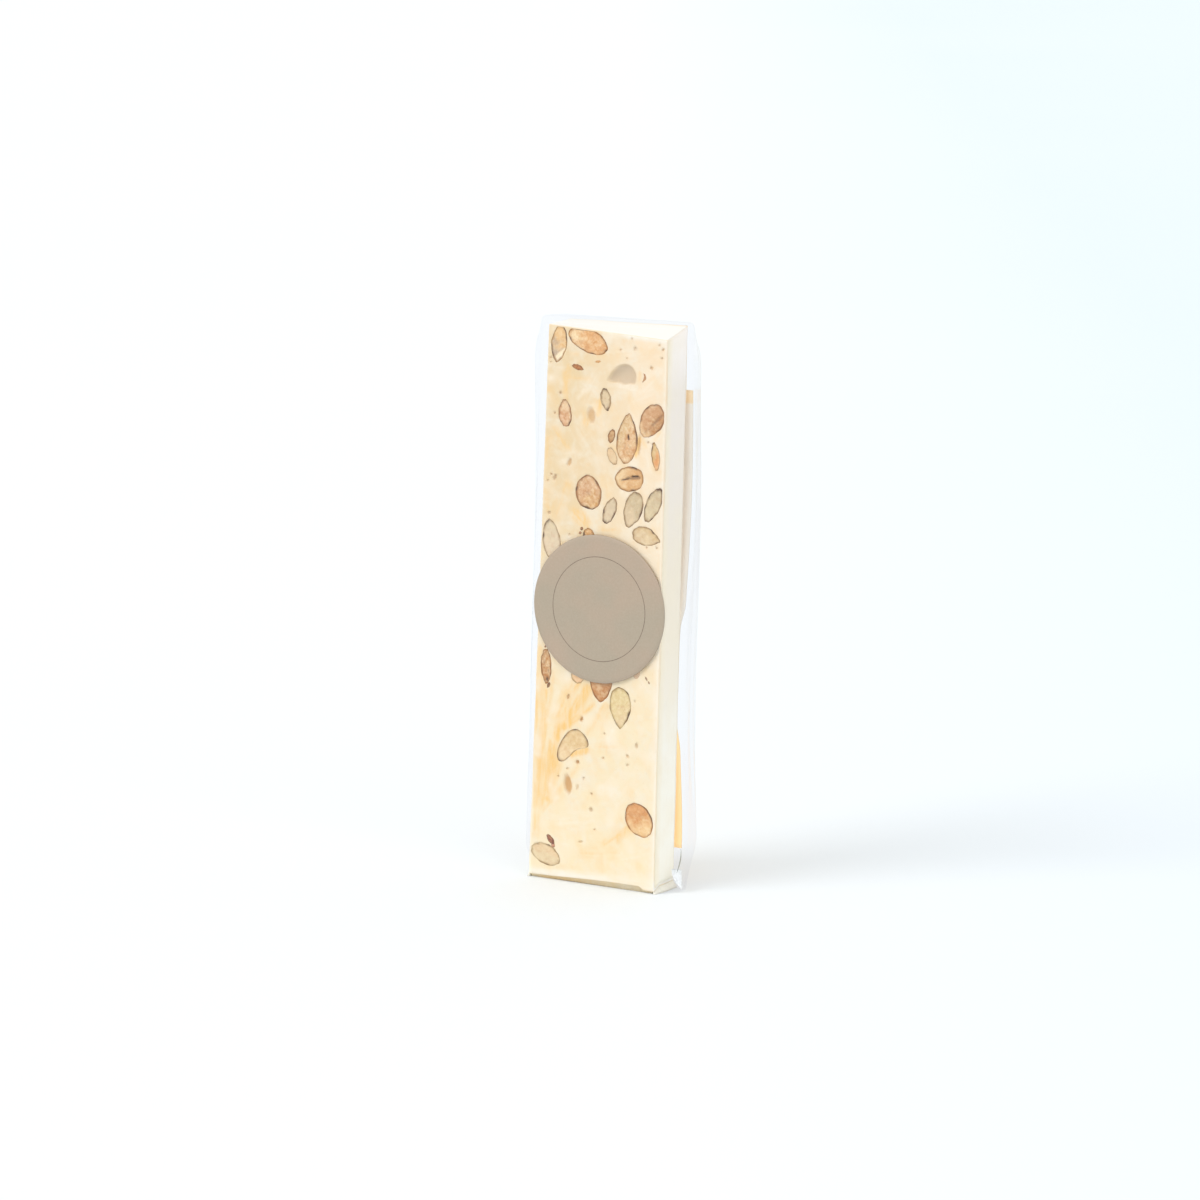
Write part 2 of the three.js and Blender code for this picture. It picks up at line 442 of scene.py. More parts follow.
FRONT_NUTS = (
    Nut(Shape(-16.1, 163.4, 5.75, 2.75, 7, 0.45, 0.5, 0.05, seed=1),
        "e5bb80", "bda68c", 200, 0.45, 0.5, dark_at=235),
    Nut(Shape(-6.2, 165.0, 6.75, 3.65, -70, 0.1, -0.1, seed=2), "e1a560", "f1d2a2", 340, 0.35, 0.8),
    Nut(Shape(0.1, 147.8, 3.4, 1.75, -9, 0.0, 0.8, -0.1, seed=3),
        "d7bf97", "d4bd99", 180, 0.4, 0.3, 0.45, dark_at=170),
    Nut(Shape(-13.8, 142.6, 4.2, 2.2, -3, 0.35, 0.2, -0.08, seed=4), "dca97c", "e6c196", 40, 0.5, 0.9),
    Nut(Shape(7.5, 136.6, 7.8, 3.45, 4, 0.75, 0.25, -0.1, seed=5),
        "dcaa72", "e0c190", 310, 0.45, 1.0, dark_at=80),
    Nut(Shape(15.75, 142.6, 5.6, 3.75, 28, 0.1, 0.35, 0.05, seed=6),
        "cd9a6a", "bf874c", 110, 0.5, 0.55, open_at=195, open_width=85),
    Nut(Shape(2.2, 137.0, 2.1, 1.15, 14, 0.3, 0.2, seed=7), "ba8b56", "cd9e68", 0, 0.3, 0.5),
    Nut(Shape(2.45, 130.9, 2.6, 1.5, -24, 0.0, 0.2, seed=8),
        "dfc196", "e0bd90", 20, 0.4, 0.3, skin=0.2, open_at=40, open_width=170),
    Nut(Shape(17.2, 132.1, 4.2, 1.4, -7, 0.6, 0.5, seed=9),
        "d9b57a", "e09a58", 150, 0.5, 0.4, open_at=120, open_width=190),
    Nut(Shape(8.5, 124.6, 4.9, 3.65, 84, -0.1, -0.2, seed=10), "d9a668", "e7c38f", 200, 0.4, 0.5),
    Nut(Shape(-5.5, 119.4, 5.3, 4.3, -10, 0.1, 0.0, -0.06, seed=11),
        "d6a575", "d7a663", 165, 0.4, 0.9, 0.44, dark_at=200),
    Nut(Shape(1.8, 114.4, 4.3, 2.0, 21, 0.3, 0.0, 0.12, seed=12),
        "d8c3a1", "d1bd9c", 0, 0.4, 0.2, 0.4, dark_at=195),
    Nut(Shape(9.75, 115.5, 5.6, 3.1, 16, 0.15, 0.4, 0.1, seed=13),
        "c8b38d", "d7c09c", 200, 0.45, 0.3, dark_at=95),
    Nut(Shape(16.65, 117.6, 5.6, 2.5, 25, 0.35, 0.25, seed=14),
        "ccb893", "d4c19a", 200, 0.4, 0.3, 0.44, dark_at=10),
    Nut(Shape(14.4, 107.8, 4.7, 2.8, 102, 0.75, 0.0, -0.12, seed=15), "dac198", "d7bb8b", 270, 0.4, 0.4),
    Nut(Shape(-18.2, 103.8, 6.2, 3.05, -6, 0.35, 0.1, seed=16), "dfcbac", "d6c4a3", 0, 0.4, 0.3),
    Nut(Shape(-5.3, 106.3, 2.3, 1.85, 4, 0.0, 0.0, seed=17), "e2ae6c", "e0ac6a", 0, 0.5, 0.5),
    Nut(Shape(-19.6, 65.0, 5.5, 1.8, -3, 0.15, 0.4, seed=18), "c1853d", "c8914c", 90, 0.4, 1.0),
    Nut(Shape(-8.5, 63.4, 2.5, 2.3, 0, 0.0, 0.2, seed=19),
        "f4d9a9", "f0c798", 180, 0.5, 0.3, skin=0.26, open_at=60, open_width=90),
    Nut(Shape(-0.6, 63.0, 6.8, 4.0, -2, 0.0, 0.55, seed=20), "bb7b36", "c6853f", 270, 0.45, 0.6),
    Nut(Shape(6.2, 55.1, 6.1, 3.7, 0, 0.0, 0.6, 0.1, seed=21),
        "e0cb94", "e5cd9f", 160, 0.4, 0.5, dark_at=110),
    Nut(Shape(-10.6, 42.1, 5.6, 3.4, 0, rough=0.012, seed=22, traced=KIDNEY),
        "e0c28e", "eacea0", 200, 0.4, 0.4, skin=0.32, open_at=150, open_width=40, dark_at=265),
    Nut(Shape(13.2, 21.3, 5.7, 4.35, -33, 0.1, 0.35, 0.06, seed=23),
        "d89653", "ecc68e", 195, 0.5, 0.5, 0.26, dark_at=95),
    Nut(Shape(-19.2, 6.9, 5.35, 3.1, -73, 0.1, 0.15, seed=24), "e1cda6", "e4caa1", 90, 0.45, 0.3, 0.3),
)

# The big bubble is a dome on a flat edge, and the small ones are scattered as they come.
FRONT_HOLLOWS = (
    Hollow(Shape(6.0, 155.4, 4.9, 3.2, rough=0.0, seed=3, traced=DOME), 1.7, 0.72),
    Hollow(Shape(-4.8, 142.6, 2.9, 1.55, -6, 0.2, 0.2, seed=4), 0.5, 0.32, 0.6, True),
    Hollow(Shape(-11.7, 29.4, 3.7, 1.5, -8, 0.2, 0.3, seed=5), 0.7, 0.3, 0.95, True),
    Hollow(Shape(11.66, 135.4, 2.9, 0.42, 3, 0.5, 0.6, rough=0.0, seed=1), 0.12, 0.0, 1.0),
    Hollow(Shape(-12.2, 127.9, 1.6, 0.75, 20, 0.3, 0.3, seed=6), 0.35, 0.35, 0.7, True),
    Hollow(Shape(-17.2, 122.9, 1.0, 0.6, 20, seed=7), 0.6, 0.5, 0.3),
    Hollow(Shape(9.9, 163.7, 0.65, 0.55, seed=8), 0.4, 0.3, 0.1),
    Hollow(Shape(-3.5, 22.6, 0.75, 0.65, seed=9), 0.5, 0.5, 0.2),
    Hollow(Shape(-8.3, 36.8, 0.6, 0.55, 60, seed=10), 0.6, 0.8, 0.9),
    Hollow(Shape(12.0, 44.1, 0.95, 0.5, -5, seed=11), 0.5, 0.4, 0.2),
    Hollow(Shape(-7.2, 50.1, 0.8, 0.45, 20, seed=12), 0.5, 0.2, 1.0),
    Hollow(Shape(-11.8, 56.5, 0.85, 0.42, 10, seed=13), 0.5, 0.5, 0.6),
    Hollow(Shape(-8.3, 29.0, 0.95, 0.42, 8, seed=14), 0.3, 0.1, 0.25),
    Hollow(Shape(-7.0, 12.2, 0.75, 0.4, 80, seed=15), 0.4, 0.3, 0.1),
    Hollow(Shape(-6.2, 32.0, 0.6, 0.42, 40, seed=16), 0.35, 0.15, 0.2),
)

# Places and radius of the pores that show one by one.
FRONT_PORES = (
    (18.1, 165.3, 0.36), (19.3, 164.1, 0.42), (19, 161.5, 0.36), (15.5, 158.4, 0.52), (8.8, 166.6, 0.3),
    (-15.5, 148.6, 0.4), (-19.6, 121.7, 0.36), (-18.4, 123.8, 0.38), (-19.1, 112, 0.5), (8.9, 40.5, 0.46),
    (8.9, 37.9, 0.42), (0.5, 39, 0.36), (-11.8, 34.3, 0.42), (-3.3, 27.5, 0.36), (0.9, 46.6, 0.34),
    (-19.2, 158.9, 0.26), (-18.9, 157.6, 0.24), (-17.4, 142.4, 0.34), (-11.9, 106, 0.34),
    (14.6, 104.6, 0.34), (18, 104.7, 0.36), (5, 163, 0.28), (7.1, 160.6, 0.28), (-15, 31.6, 0.3),
    (11.2, 57.6, 0.28), (-2.2, 16.6, 0.28), (14.7, 136.2, 0.36), (16.2, 135.7, 0.3),
)

# Small brown pieces lying in the face: outline, colour, how far they stand proud.
FRONT_CHIPS = (
    (Shape(-9.6, 156.7, 1.95, 0.85, -76, 0.2, 0.2, seed=2), "a55d20", 0.12),
    (Shape(-2.7, 158.9, 0.95, 0.38, 84, 0.2, 0.3, seed=3), "cf9a5e", 0.06),
    (Shape(-17.5, 11.7, 1.9, 0.92, -42, 0.3, 0.5, seed=4), "7d4644", 0.12),
    (Shape(-18.7, 59.3, 0.95, 0.5, 25, 0.2, 0.4, seed=13), "6b452a", 0.1),
    (Shape(-16.6, 10.0, 0.8, 0.6, -30, 0.2, 0.2, seed=5), "c38d7e", 0.08),
    (Shape(12.9, 155.3, 1.35, 0.42, 8, 0.4, 0.2, bend=0.7, seed=6), "b98a63", 0.06),
    (Shape(-7.7, 108.2, 0.55, 0.5, 20, seed=7), "744930", 0.1),
    (Shape(-8.2, 106.9, 0.5, 0.42, 60, seed=8), "ae7453", 0.1),
    (Shape(15.0, 64.9, 0.7, 0.3, -30, 0.2, 0.2, seed=9), "8e7660", 0.05),
    (Shape(15.9, 63.8, 0.5, 0.26, -30, 0.2, 0.2, seed=10), "8e7660", 0.05),
    (Shape(11.7, 66.0, 1.6, 1.1, 20, 0.2, 0.2, seed=11), "e4c6a6", 0.05),
    (Shape(-20.0, 71.0, 0.35, 0.3, 0, seed=12), "955c3b", 0.08),
)


def strokes(*rows):
    """Strokes from rows of start, end, width, strength and sink."""
    return [Stroke(row[:2], row[2:4], *row[4:]) for row in rows]


# Where the nougat is warmer: strokes of caramelised honey, mostly on the left.
WARM_STROKES = strokes(
    (-22.8, 14, -22.4, 60, 4, 0.65), (-22.2, 22, -18.5, 62, 2.8, 0.9), (-20.4, 22, -12.5, 58, 2.4, 0.8),
    (-17.8, 24, -14.8, 46, 2.4, 0.95), (-19, 27, -17.8, 42, 1.3, 0.9), (-21.6, 30, -19.6, 52, 1, 0.8),
    (-16.4, 40, -8.6, 57, 1.6, 0.9), (-15.5, 50, -9.5, 61, 3.4, 0.9), (-11, 47, -5.5, 60, 2.2, 1),
    (-6.5, 54, -3, 61, 2, 0.9), (-4.5, 46, 1.2, 55, 2.2, 0.75), (0.5, 49, 3, 54, 1.8, 0.5),
    (-20, 58, -22.5, 70, 2.6, 0.7), (-10.2, 38.6, -5.4, 40.4, 2, 2.4), (-9, 52, -5, 60, 1.8, 1),
    (2, 12.5, 10.5, 19, 2.6, 0.8), (6.2, 14.2, 8.2, 17, 1.7, 0.75), (9, 19.5, 6, 21.5, 1.6, 0.35),
    (-6, 8.5, 4, 9.5, 3.6, 0.5), (-3, 55, -13, 47, 1.6, 1.3), (-14, 35.5, -18.8, 24, 1.2, 0.9),
    (-24, 40, -23, 62, 1.6, 1), (-8.2, 35.4, -20, 20.5, 1.4, 0.6), (-16.4, 45, -16.4, 37, 0.9, 0.8),
    (-0.5, 42, 4, 42.5, 3, 0.6), (-7.6, 112.6, -6.2, 109.5, 2.4, 1), (-21.5, 76, -22.5, 90, 2.6, 0.6),
    (-10, 112, -6.5, 109, 3.6, 0.95), (-16.5, 111, -12.5, 121, 3.2, 0.6),
    (-20.4, 126, -19.2, 134, 2.4, 0.75), (-17.6, 137, -13.2, 132, 2.6, 0.75),
    (-19, 113, -20.6, 122, 2.2, 0.45), (-13.4, 149, -12.4, 156, 2.2, 0.75), (-12, 153, -6, 153, 2, 0.55),
    (-11.4, 160.6, -9.8, 160.6, 1.2, 0.8), (-20, 150, -18, 145, 1.8, 0.4),
    (-1.7, 147.2, -2.6, 143.4, 1.5, 1.5), (-3.2, 146.8, -6.8, 140.2, 1.8, 1),
    (-1.4, 139, -0.8, 143, 1.4, 0.4), (1.6, 133.6, 4, 133, 1.5, 0.8), (10.4, 131.6, 11.8, 137, 1, 2.2),
    (17, 137.2, 18.2, 139.4, 1.3, 1.6), (-1.6, 147, -2.6, 143, 0.9, 1.2),
    (11.4, 154.6, 11.6, 156.6, 1, 0.5), (-14.2, 155, -13.6, 146.5, 1.3, 0.8),
    (12.6, 137.4, 13.6, 134.8, 1.2, 0.8), (-1, 108, 3, 108.6, 2.6, 0.65), (13, 162, 17, 164, 3.4, 0.2),
    (16.2, 128.5, 18.4, 127.6, 1.6, 0.6), (19.4, 92, 19.6, 104, 1.8, 0.3), (14, 66.5, 18, 70, 2.4, 0.4),
    (16, 53, 18, 56, 2.6, 0.3),
)

# And where it is paler, mostly on the right and under the big bubble; the stroke at the right between 128
# and 134 mm is painted reflection of the film's glare.
PALE_STROKES = strokes(
    (-9, 139, -1.5, 129, 6, 0.35), (-9.5, 147.5, -5.5, 150.5, 1.6, 0.7), (4.5, 158.5, 12, 160.5, 4, 0.45),
    (1, 161.5, 7, 162.5, 3, 0.5), (13.5, 151.5, 19, 157, 3.5, 0.6), (10.5, 148, 17, 150.5, 3.6, 0.6),
    (5, 151.6, 9.5, 151.2, 2.4, 1), (1, 152.2, 9, 152.6, 1.1, 0.9), (-4, 154, -7.5, 148, 4, 0.5),
    (13.5, 134, 15, 128, 2.6, 0.7), (-14, 130, -10, 131, 2.4, 0.5), (10.5, 101, 19, 103, 3.4, 0.5),
    (18.5, 70, 18, 20, 2, 0.5), (12, 65, 16.5, 60, 3, 0.5), (4, 28, 10, 34, 7, 0.45),
    (-14, 18, -4, 20, 5, 0.5), (-19, 48, -15.4, 57.5, 1.5, 0.55), (8, 8.4, 16, 10.6, 3.4, 0.5),
    (-24, 1.2, 17.5, 2.2, 2.4, 1.3), (-16, 156.5, -20, 157, 2.4, 0.5), (-17, 34, -17.8, 27, 1.4, 0.2),
)

# Lines drawn on the cut almonds: slits, ridges and dark ends, sunk a little. Where a line is a slit or
# crack, its dark is painted shade.
NUT_STROKES = strokes(
    (5.9, 124.1, 7.6, 124.5, 0.42, 0.85, 0.3), (7.6, 124.7, 11.7, 125.2, 0.76, 0.66, 0.5),
    (9.2, 125.4, 11.2, 125.6, 0.4, 1, 0.6), (7.75, 137.5, 7.9, 136.5, 0.42, 1, 0.4),
    (6.3, 135.4, 7, 134.4, 0.3, 0.42, 0.1), (7, 134.4, 6.4, 133.2, 0.3, 0.38, 0.1),
    (7.6, 134.9, 8.6, 134.2, 0.3, 0.42, 0.1), (8.6, 134.2, 8.2, 133, 0.3, 0.4, 0.1),
    (7.2, 132.8, 8, 131.8, 0.3, 0.36, 0.1), (6.2, 132, 6.9, 131.2, 0.3, 0.3, 0.1),
    (6.9, 140.4, 7.2, 138.6, 0.3, 0.22, 0.1), (13.2, 138.7, 16.6, 141.8, 0.5, 0.34, 0.1),
    (16.2, 141.5, 19.6, 144.8, 0.8, 0.55, 0.2), (15.2, 139.2, 19.2, 142.6, 0.4, 0.26, 0.1),
    (14, 144, 15.6, 145.6, 0.9, 0.14, 0), (-19.2, 59.6, -19, 61, 1.2, 1, 0.1),
    (-20.4, 66, -20.2, 66.6, 0.35, 0.7, 0.1), (-18.9, 63.4, -18.8, 63.9, 0.3, 0.6, 0.1),
    (-21, 67.6, -20.8, 68.4, 0.6, 0.8, 0.1), (-19.6, 70.2, -18.6, 69.9, 0.6, 0.7, 0.1),
    (-15.6, 4, -14.8, 4.6, 0.8, 0.6, 0), (-8.9, 122.4, -9.2, 121, 0.8, 0.45, 0.1),
    (-8, 115.6, -6, 114.6, 0.7, 0.45, 0.1), (-6, 119.4, -5.2, 118.6, 0.7, 0.35, 0.15),
    (10.6, 22.6, 14.6, 22.8, 1, 0.22, 0), (19.2, 117, 19.1, 115.4, 0.55, 1, 0),
    (14.2, 112.7, 15.2, 112.3, 0.7, 1, 0), (0, 110.9, 0.9, 110.9, 0.7, 0.7, 0),
)

# The line along which pale nougat crosses the first almond.
CREAM_WEDGE = ((-18.0, 159.3), (-13.6, 163.0))

# The hidden face.
BACK_NUTS = 30
BACK_HOLLOWS = 34
BACK_GRAIN = 1.2  # how much coarser its mesh is than the front's
TRIES = 4000  # how often a place is tried for its almonds


def random_shapes(count, x_range, z_range, seed):
    """Almond outlines strewn over a hidden face, none touching another."""
    draw = random.Random(seed)
    shapes = []
    for _ in range(TRIES):
        long = draw.uniform(3.0, 6.6)
        shape = Shape(
            x=draw.uniform(*x_range),
            z=draw.uniform(*z_range),
            long=long,
            wide=long * draw.uniform(0.45, 0.75),
            tilt=draw.uniform(-90, 90),
            tip=draw.uniform(0, 0.7),
            tail=draw.uniform(0, 0.35),
            taper=draw.uniform(-0.12, 0.12),
            bend=draw.choice((0, 0, 0, draw.uniform(-1.2, 1.2))),
            seed=draw.randint(1, 90),
        )
        room = all(math.hypot(shape.x - o.x, shape.z - o.z) > shape.long + o.long + 0.4 for o in shapes)
        half = shape.long + 0.9
        left = bar_edge("left", shape.z) + half
        right = bar_edge("right", shape.z) - half
        if room and left < shape.x < right:
            shapes.append(shape)
        if len(shapes) == count:
            break
    return shapes


def back_nuts():
    """Almonds of the back face, in the same tones as in front."""
    draw = random.Random(SEEDS["tones"])
    nuts = []
    for shape in random_shapes(BACK_NUTS, (-23, 19), (6, 163), SEEDS["nuts"]):
        tone, second = draw.choice(NUT_TONES)
        nuts.append(
            Nut(shape, tone, second, draw.uniform(0, 360), draw.uniform(0.3, 0.6), draw.uniform(0.1, 0.9))
        )
    return nuts


def back_hollows(nuts):
    """Pores and dents of the back face, clear of its almonds."""
    draw = random.Random(SEEDS["hollows"])
    hollows = []
    taken = [nut.shape for nut in nuts]
    while len(hollows) < BACK_HOLLOWS:
        z = draw.uniform(4, 164)
        x = draw.uniform(bar_edge("left", z) + 2, bar_edge("right", z) - 2)
        size = draw.choice((0.35, 0.4, 0.45, 0.6, 0.9, 1.6))
        if all(math.hypot(x - o.x, z - o.z) > size + o.long + 0.5 for o in taken):
            long, tilt = size * draw.uniform(1, 1.7), draw.uniform(-90, 90)
            shape = Shape(x, z, long, size, tilt, seed=draw.randint(1, 90))
            taken.append(shape)
            hollows.append(Hollow(shape, size * 0.7, draw.uniform(0.6, 1), draw.uniform(0, 0.7)))
    return hollows


def pores(places):
    """Small round bubbles that the knife has opened."""
    made = []
    for i, (x, z, r) in enumerate(places):
        shape = Shape(x, z, r * 1.15, r * 0.95, 37 * i, seed=i)
        made.append(Hollow(shape, r * 0.8, 0.3 + 0.3 * (i % 3) / 2, 0.15 + 0.25 * (i % 2)))
    return made


# ==== the nougat ===================================================================


class Skin:
    """Points, faces and point values that are gathered patch by patch."""

    def __init__(self):
        self.points, self.faces, self.out, self.index = [], [], [], {}
        self.tints = {name: [] for name in ("warmth", "paleness", "shade", "tan", "white")}

    def point(self, place, out, warmth, paleness, shade=0.0, tan=0.0, white=0.0):
        """Number of a point, which is shared where patches meet."""
        key = tuple(round(v, 3) for v in place)
        if key not in self.index:
            self.index[key] = len(self.points)
            self.points.append(place)
            self.out.append(out)
            for values, value in zip(self.tints.values(), (warmth, paleness, shade, tan, white)):
                values.append(value)
        return self.index[key]

    def patch(self, faces, numbers, flip):
        """Adds faces that count within a patch whose points have these numbers."""
        for face in faces:
            corners = [numbers[i] for i in face]
            self.faces.append(corners[::-1] if flip else corners)


def columns(settings):
    """Upright lines round the bar, as (side, share along it), counterclockwise from above."""
    across = max(8, round(BAR_WIDTH * MM / settings.grain))
    along = max(4, round(BAR_DEPTH * MM / settings.grain / 1.3))
    sides = ("front", "front-right", "right", "back-right", "back", "back-left", "left", "front-left")
    counts = (across, ARC_STEPS, along, ARC_STEPS) * 2
    return [(side, i / count) for side, count in zip(sides, counts) for i in range(count)]


def column_place(column, z):
    """Where an upright line stands at a height, and which way is out there."""
    side, share = column
    r = CORNER_ROUND
    left = bar_edge("left", z) + WAFER_SEAT + r
    right = bar_edge("right", z) - WAFER_SEAT - r
    front, back = BAR_FRONT + r, BAR_BACK - r
    # Where the rounding's centre starts and ends, and the way out there in quarter turns.
    x1, y1, x2, y2, first, last = {
        "front": (left, front, right, front, -1, -1),
        "front-right": (right, front, right, front, -1, 0),
        "right": (right, front, right, back, 0, 0),
        "back-right": (right, back, right, back, 0, 1),
        "back": (right, back, left, back, 1, 1),
        "back-left": (left, back, left, back, 1, 2),
        "left": (left, back, left, front, 2, 2),
        "front-left": (left, front, left, front, 2, 3),
    }[side]
    turn = lerp(first, last, share) * math.pi / 2
    out_x, out_y = math.cos(turn), math.sin(turn)
    return lerp(x1, x2, share) + r * out_x, lerp(y1, y2, share) + r * out_y, out_x, out_y


def wall_point(column, share, inset=0.0, drop=0.0):
    """A point of the wall between the rounded ends, moved in and towards the nearer end."""
    x, y, out_x, out_y = column_place(column, share * BAR_HEIGHT)
    low = foot_level(x, y) + END_ROUND
    high = top_level(x, y) - END_ROUND
    z = lerp(low, high, share)
    z += drop if share > 0.5 else -drop
    return (x - out_x * inset, y - out_y * inset, z), (out_x, out_y, 0.0)


def face_tints(x, z):
    """Warmth, paleness and painted glare of the cut face at a place: its edges are painted paler and whiter
    as highlight.
    """
    warm = 1.0 - 0.3 * smooth(1.6 * cloud(x + 0.35 * z, 31, 0.6 * z, 4.5) - 0.15)
    for stroke in WARM_STROKES:
        warm *= 1 - min(stroke.fibres(x, z), 1.0) * 0.92
    pale = 1.0 - 0.5 * smooth(1.8 * cloud(x, 53, z, 6.5) - 0.2)
    pale -= 0.25 * smooth(2 * cloud(x, 57, z, 2.4) - 0.3)
    for stroke in PALE_STROKES:
        pale *= 1 - min(stroke.fibres(x, z), 1.0) * 0.92
    left = x - bar_edge("left", z)
    right = bar_edge("right", z) - x
    # Painted highlight: the left edge low down is painted paler.
    low_left = 0.08 + 0.55 * smooth((34 - z) / 10)
    pale *= 1 - low_left * (1 - smooth((left - 0.3) / 1.1))
    # Painted highlight: the right edge is painted paler where the film's glare lies on the corner, less so
    # higher up.
    rim = (0.6 + 0.5 * cloud(x, 77, z, 9.0)) * (1 - 0.5 * smooth((z - 95) / 15))
    pale *= 1 - min(rim, 0.95) * (1 - smooth((right - 0.3) / 2.6))
    # Painted highlight: white along the bottom edge's rounding, the left edge low down, the right edge and
    # the top right edge.
    low = z - foot_level(x, BAR_FRONT)
    painted_glare = (0.5 - 0.4 * smooth((x + 8) / 14)) * (1 - smooth((low - 0.8) / 1.7))
    painted_glare = max(painted_glare, low_left * 0.8 * (1 - smooth((left - 0.2) / 0.7)))
    painted_glare = max(painted_glare, 0.35 * (1 - smooth((right - 0.2) / 1.3)))
    painted_glare = max(painted_glare, 0.6 * smooth((x - 2) / 6) * (1 - smooth((top_level(x, BAR_FRONT) - z - 0.5) / 1.4)))
    return 1 - warm, 1 - pale, painted_glare


def hidden_tints(x, y, z):
    """The same for a face that no stroke is placed on: slanted drifts of the same two tones."""
    lean = x + z * 0.22
    warm = smooth(cloud(lean, y, z * 0.22, 5.0) * 1.6 + 0.1)
    pale = smooth(cloud(lean + 90, y, z * 0.4, 9.0) * 1.4)
    return warm * 0.8, pale * 0.7


def bowl(depth):
    """Rings of a round-bottomed hollow: share of the outline and how deep they lie."""
    rings = ((1.0, 0.0), (0.93, 0.22), (0.8, 0.55), (0.55, 0.85), (0.28, 0.97))
    return [(scale, share * depth) for scale, share in rings]


def pocket(depth):
    """Rings of the seat that an almond sits in."""
    return [(scale, share * depth) for scale, share in ((1.0, 0.0), (0.985, 0.4), (0.7, 0.95), (0.3, 1.0))]


def cut_face(skin, border, y, toward, nuts, hollows, grain, tints, seed):
    """One cut face: an even mesh with a seat for each almond and a bowl for each hollow."""
    draw = random.Random(seed)
    flat = [Vector((p[0], p[2])) for p in border]
    edges = closed_loop(0, len(flat))
    plain = (0.0, 0.0, 0.0)
    marks = [plain] * len(flat)  # sink, painted shade and tan of each point
    taken = []
    features = [(nut.shape, pocket(nut_depth(nut)), 0.0, 0.0, False) for nut in nuts]
    features += [(h.shape, bowl(h.deep), h.shade, h.tan, h.soft) for h in hollows]
    for shape, rings, shade, tan, soft in features:
        count = ring_count(shape)
        deepest = rings[-1][1]
        edges += closed_loop(len(flat), count)
        for scale, sink in rings:
            reach = smooth((1 - scale) * 2.2) if soft else smooth(sink / deepest * 1.6)
            brown = reach if soft else 0.4 + 0.6 * sink / deepest
            ring = shape.ring(count if scale > 0.9 else count // 2, scale)
            flat += [Vector(p) for p in ring]
            marks += [(sink, shade * reach, tan * brown)] * len(ring)
        flat.append(Vector(shape.turned(shape.bend * 0.6, 0) if shape.bend else (shape.x, shape.z)))
        marks.append((deepest, shade, tan))
        taken.append(np.array(shape.ring(24, 1.0)))
    # An even, slightly shaken grid fills what is left.
    step = grain / MM
    low_x, high_x = min(p[0] for p in border), max(p[0] for p in border)
    low_z, high_z = min(p[2] for p in border), max(p[2] for p in border)
    for j in range(int((high_z - low_z) / (step * ROW_SHARE)) + 1):
        z = low_z + j * step * ROW_SHARE
        left = bar_edge("left", z) + WAFER_SEAT + CORNER_ROUND + 0.55 * step
        right = bar_edge("right", z) - WAFER_SEAT - CORNER_ROUND - 0.55 * step
        x = low_x + (0.5 * step if j % 2 else 0.0)
        while x < high_x:
            place = (x + draw.uniform(-0.16, 0.16) * step, z + draw.uniform(-0.16, 0.16) * step)
            x += step
            floor = foot_level(place[0], y) + END_ROUND + 0.5 * step
            roof = top_level(place[0], y) - END_ROUND - 0.5 * step
            if left < place[0] < right and floor < place[1] < roof and clear_of(place, taken, 0.4 * step):
                flat.append(Vector(place))
                marks.append(plain)
    places, _, faces, originals, _, _ = delaunay_2d_cdt(flat, edges, [], 1, 1e-4)
    numbers = []
    for (x, z), origin in zip(places, originals):
        sink, shade, tan = marks[origin[0]] if origin else plain
        warm, pale, painted_glare = tints(x, z)
        place = (x, y - toward * sink, z)
        numbers.append(skin.point(place, (0.0, toward, 0.0), warm, pale, shade, tan, painted_glare))
    skin.patch(faces, numbers, toward > 0)


def ring_count(shape):
    """Points round an outline, so that they lie about half a millimetre apart."""
    return int(min(max(14, 2 * math.pi * max(shape.long, shape.wide) / 0.55), 64)) // 2 * 2


def nut_depth(nut):
    """How far a cut almond reaches into the bar."""
    return min(0.55 * nut.shape.wide + 0.8, 2.6)


def clear_of(place, outlines, room):
    """Whether a place lies outside all outlines by at least `room`."""
    x, z = place
    for outline in outlines:
        if (
            x < outline[:, 0].min() - room
            or x > outline[:, 0].max() + room
            or z < outline[:, 1].min() - room
            or z > outline[:, 1].max() + room
        ):
            continue
        if np.hypot(outline[:, 0] - x, outline[:, 1] - z).min() < room:
            return False
        next_points = np.roll(outline, -1, axis=0)
        above = outline[:, 1] > z
        crosses = above != (next_points[:, 1] > z)
        rise = next_points[:, 1] - outline[:, 1]
        rise[rise == 0] = 1e-9
        at = outline[:, 0] + (z - outline[:, 1]) * (next_points[:, 0] - outline[:, 0]) / rise
        if (crosses & (x < at)).sum() % 2:
            return False
    return True


def narrow_wall(skin, lines, rows):
    """A wall between two cut faces: a plain grid that the wafer sheet covers."""
    grid = []
    for column in lines:
        line = []
        for row in range(rows + 1):
            place, out = wall_point(column, row / rows)
            warm, pale = hidden_tints(*place)
            # Painted highlight: the nougat under the wafer sheet is whitened near the ground.
            white = 0.85 * (1 - smooth((place[2] - 2.2) / 1.5))
            line.append(skin.point(place, out, warm * 0.4, 0.5 + pale * 0.5, white=white))
        grid.append(line)
    join(skin.faces, list(zip(*grid)), closed=False)


def underside_painted_shade(x):
    """How much honeyed warmth is painted on the sagging underside as warm shade, for the brown gap under
    the front edge: most on the left.
    """
    return 0.05 + 0.55 * smooth((x + 24.5) / 5.0) * (1 - smooth((x + 18) / 26))


def top_seam(x, y):
    """How much warm nougat shows at the back edge of the top: there the painted white highlight stops, and
    warmth is painted along the shaded edge.
    """
    return (0.6 + 0.4 * smooth((x - 12) / 4)) * smooth((y - BAR_BACK + 1.3) / 1.0)


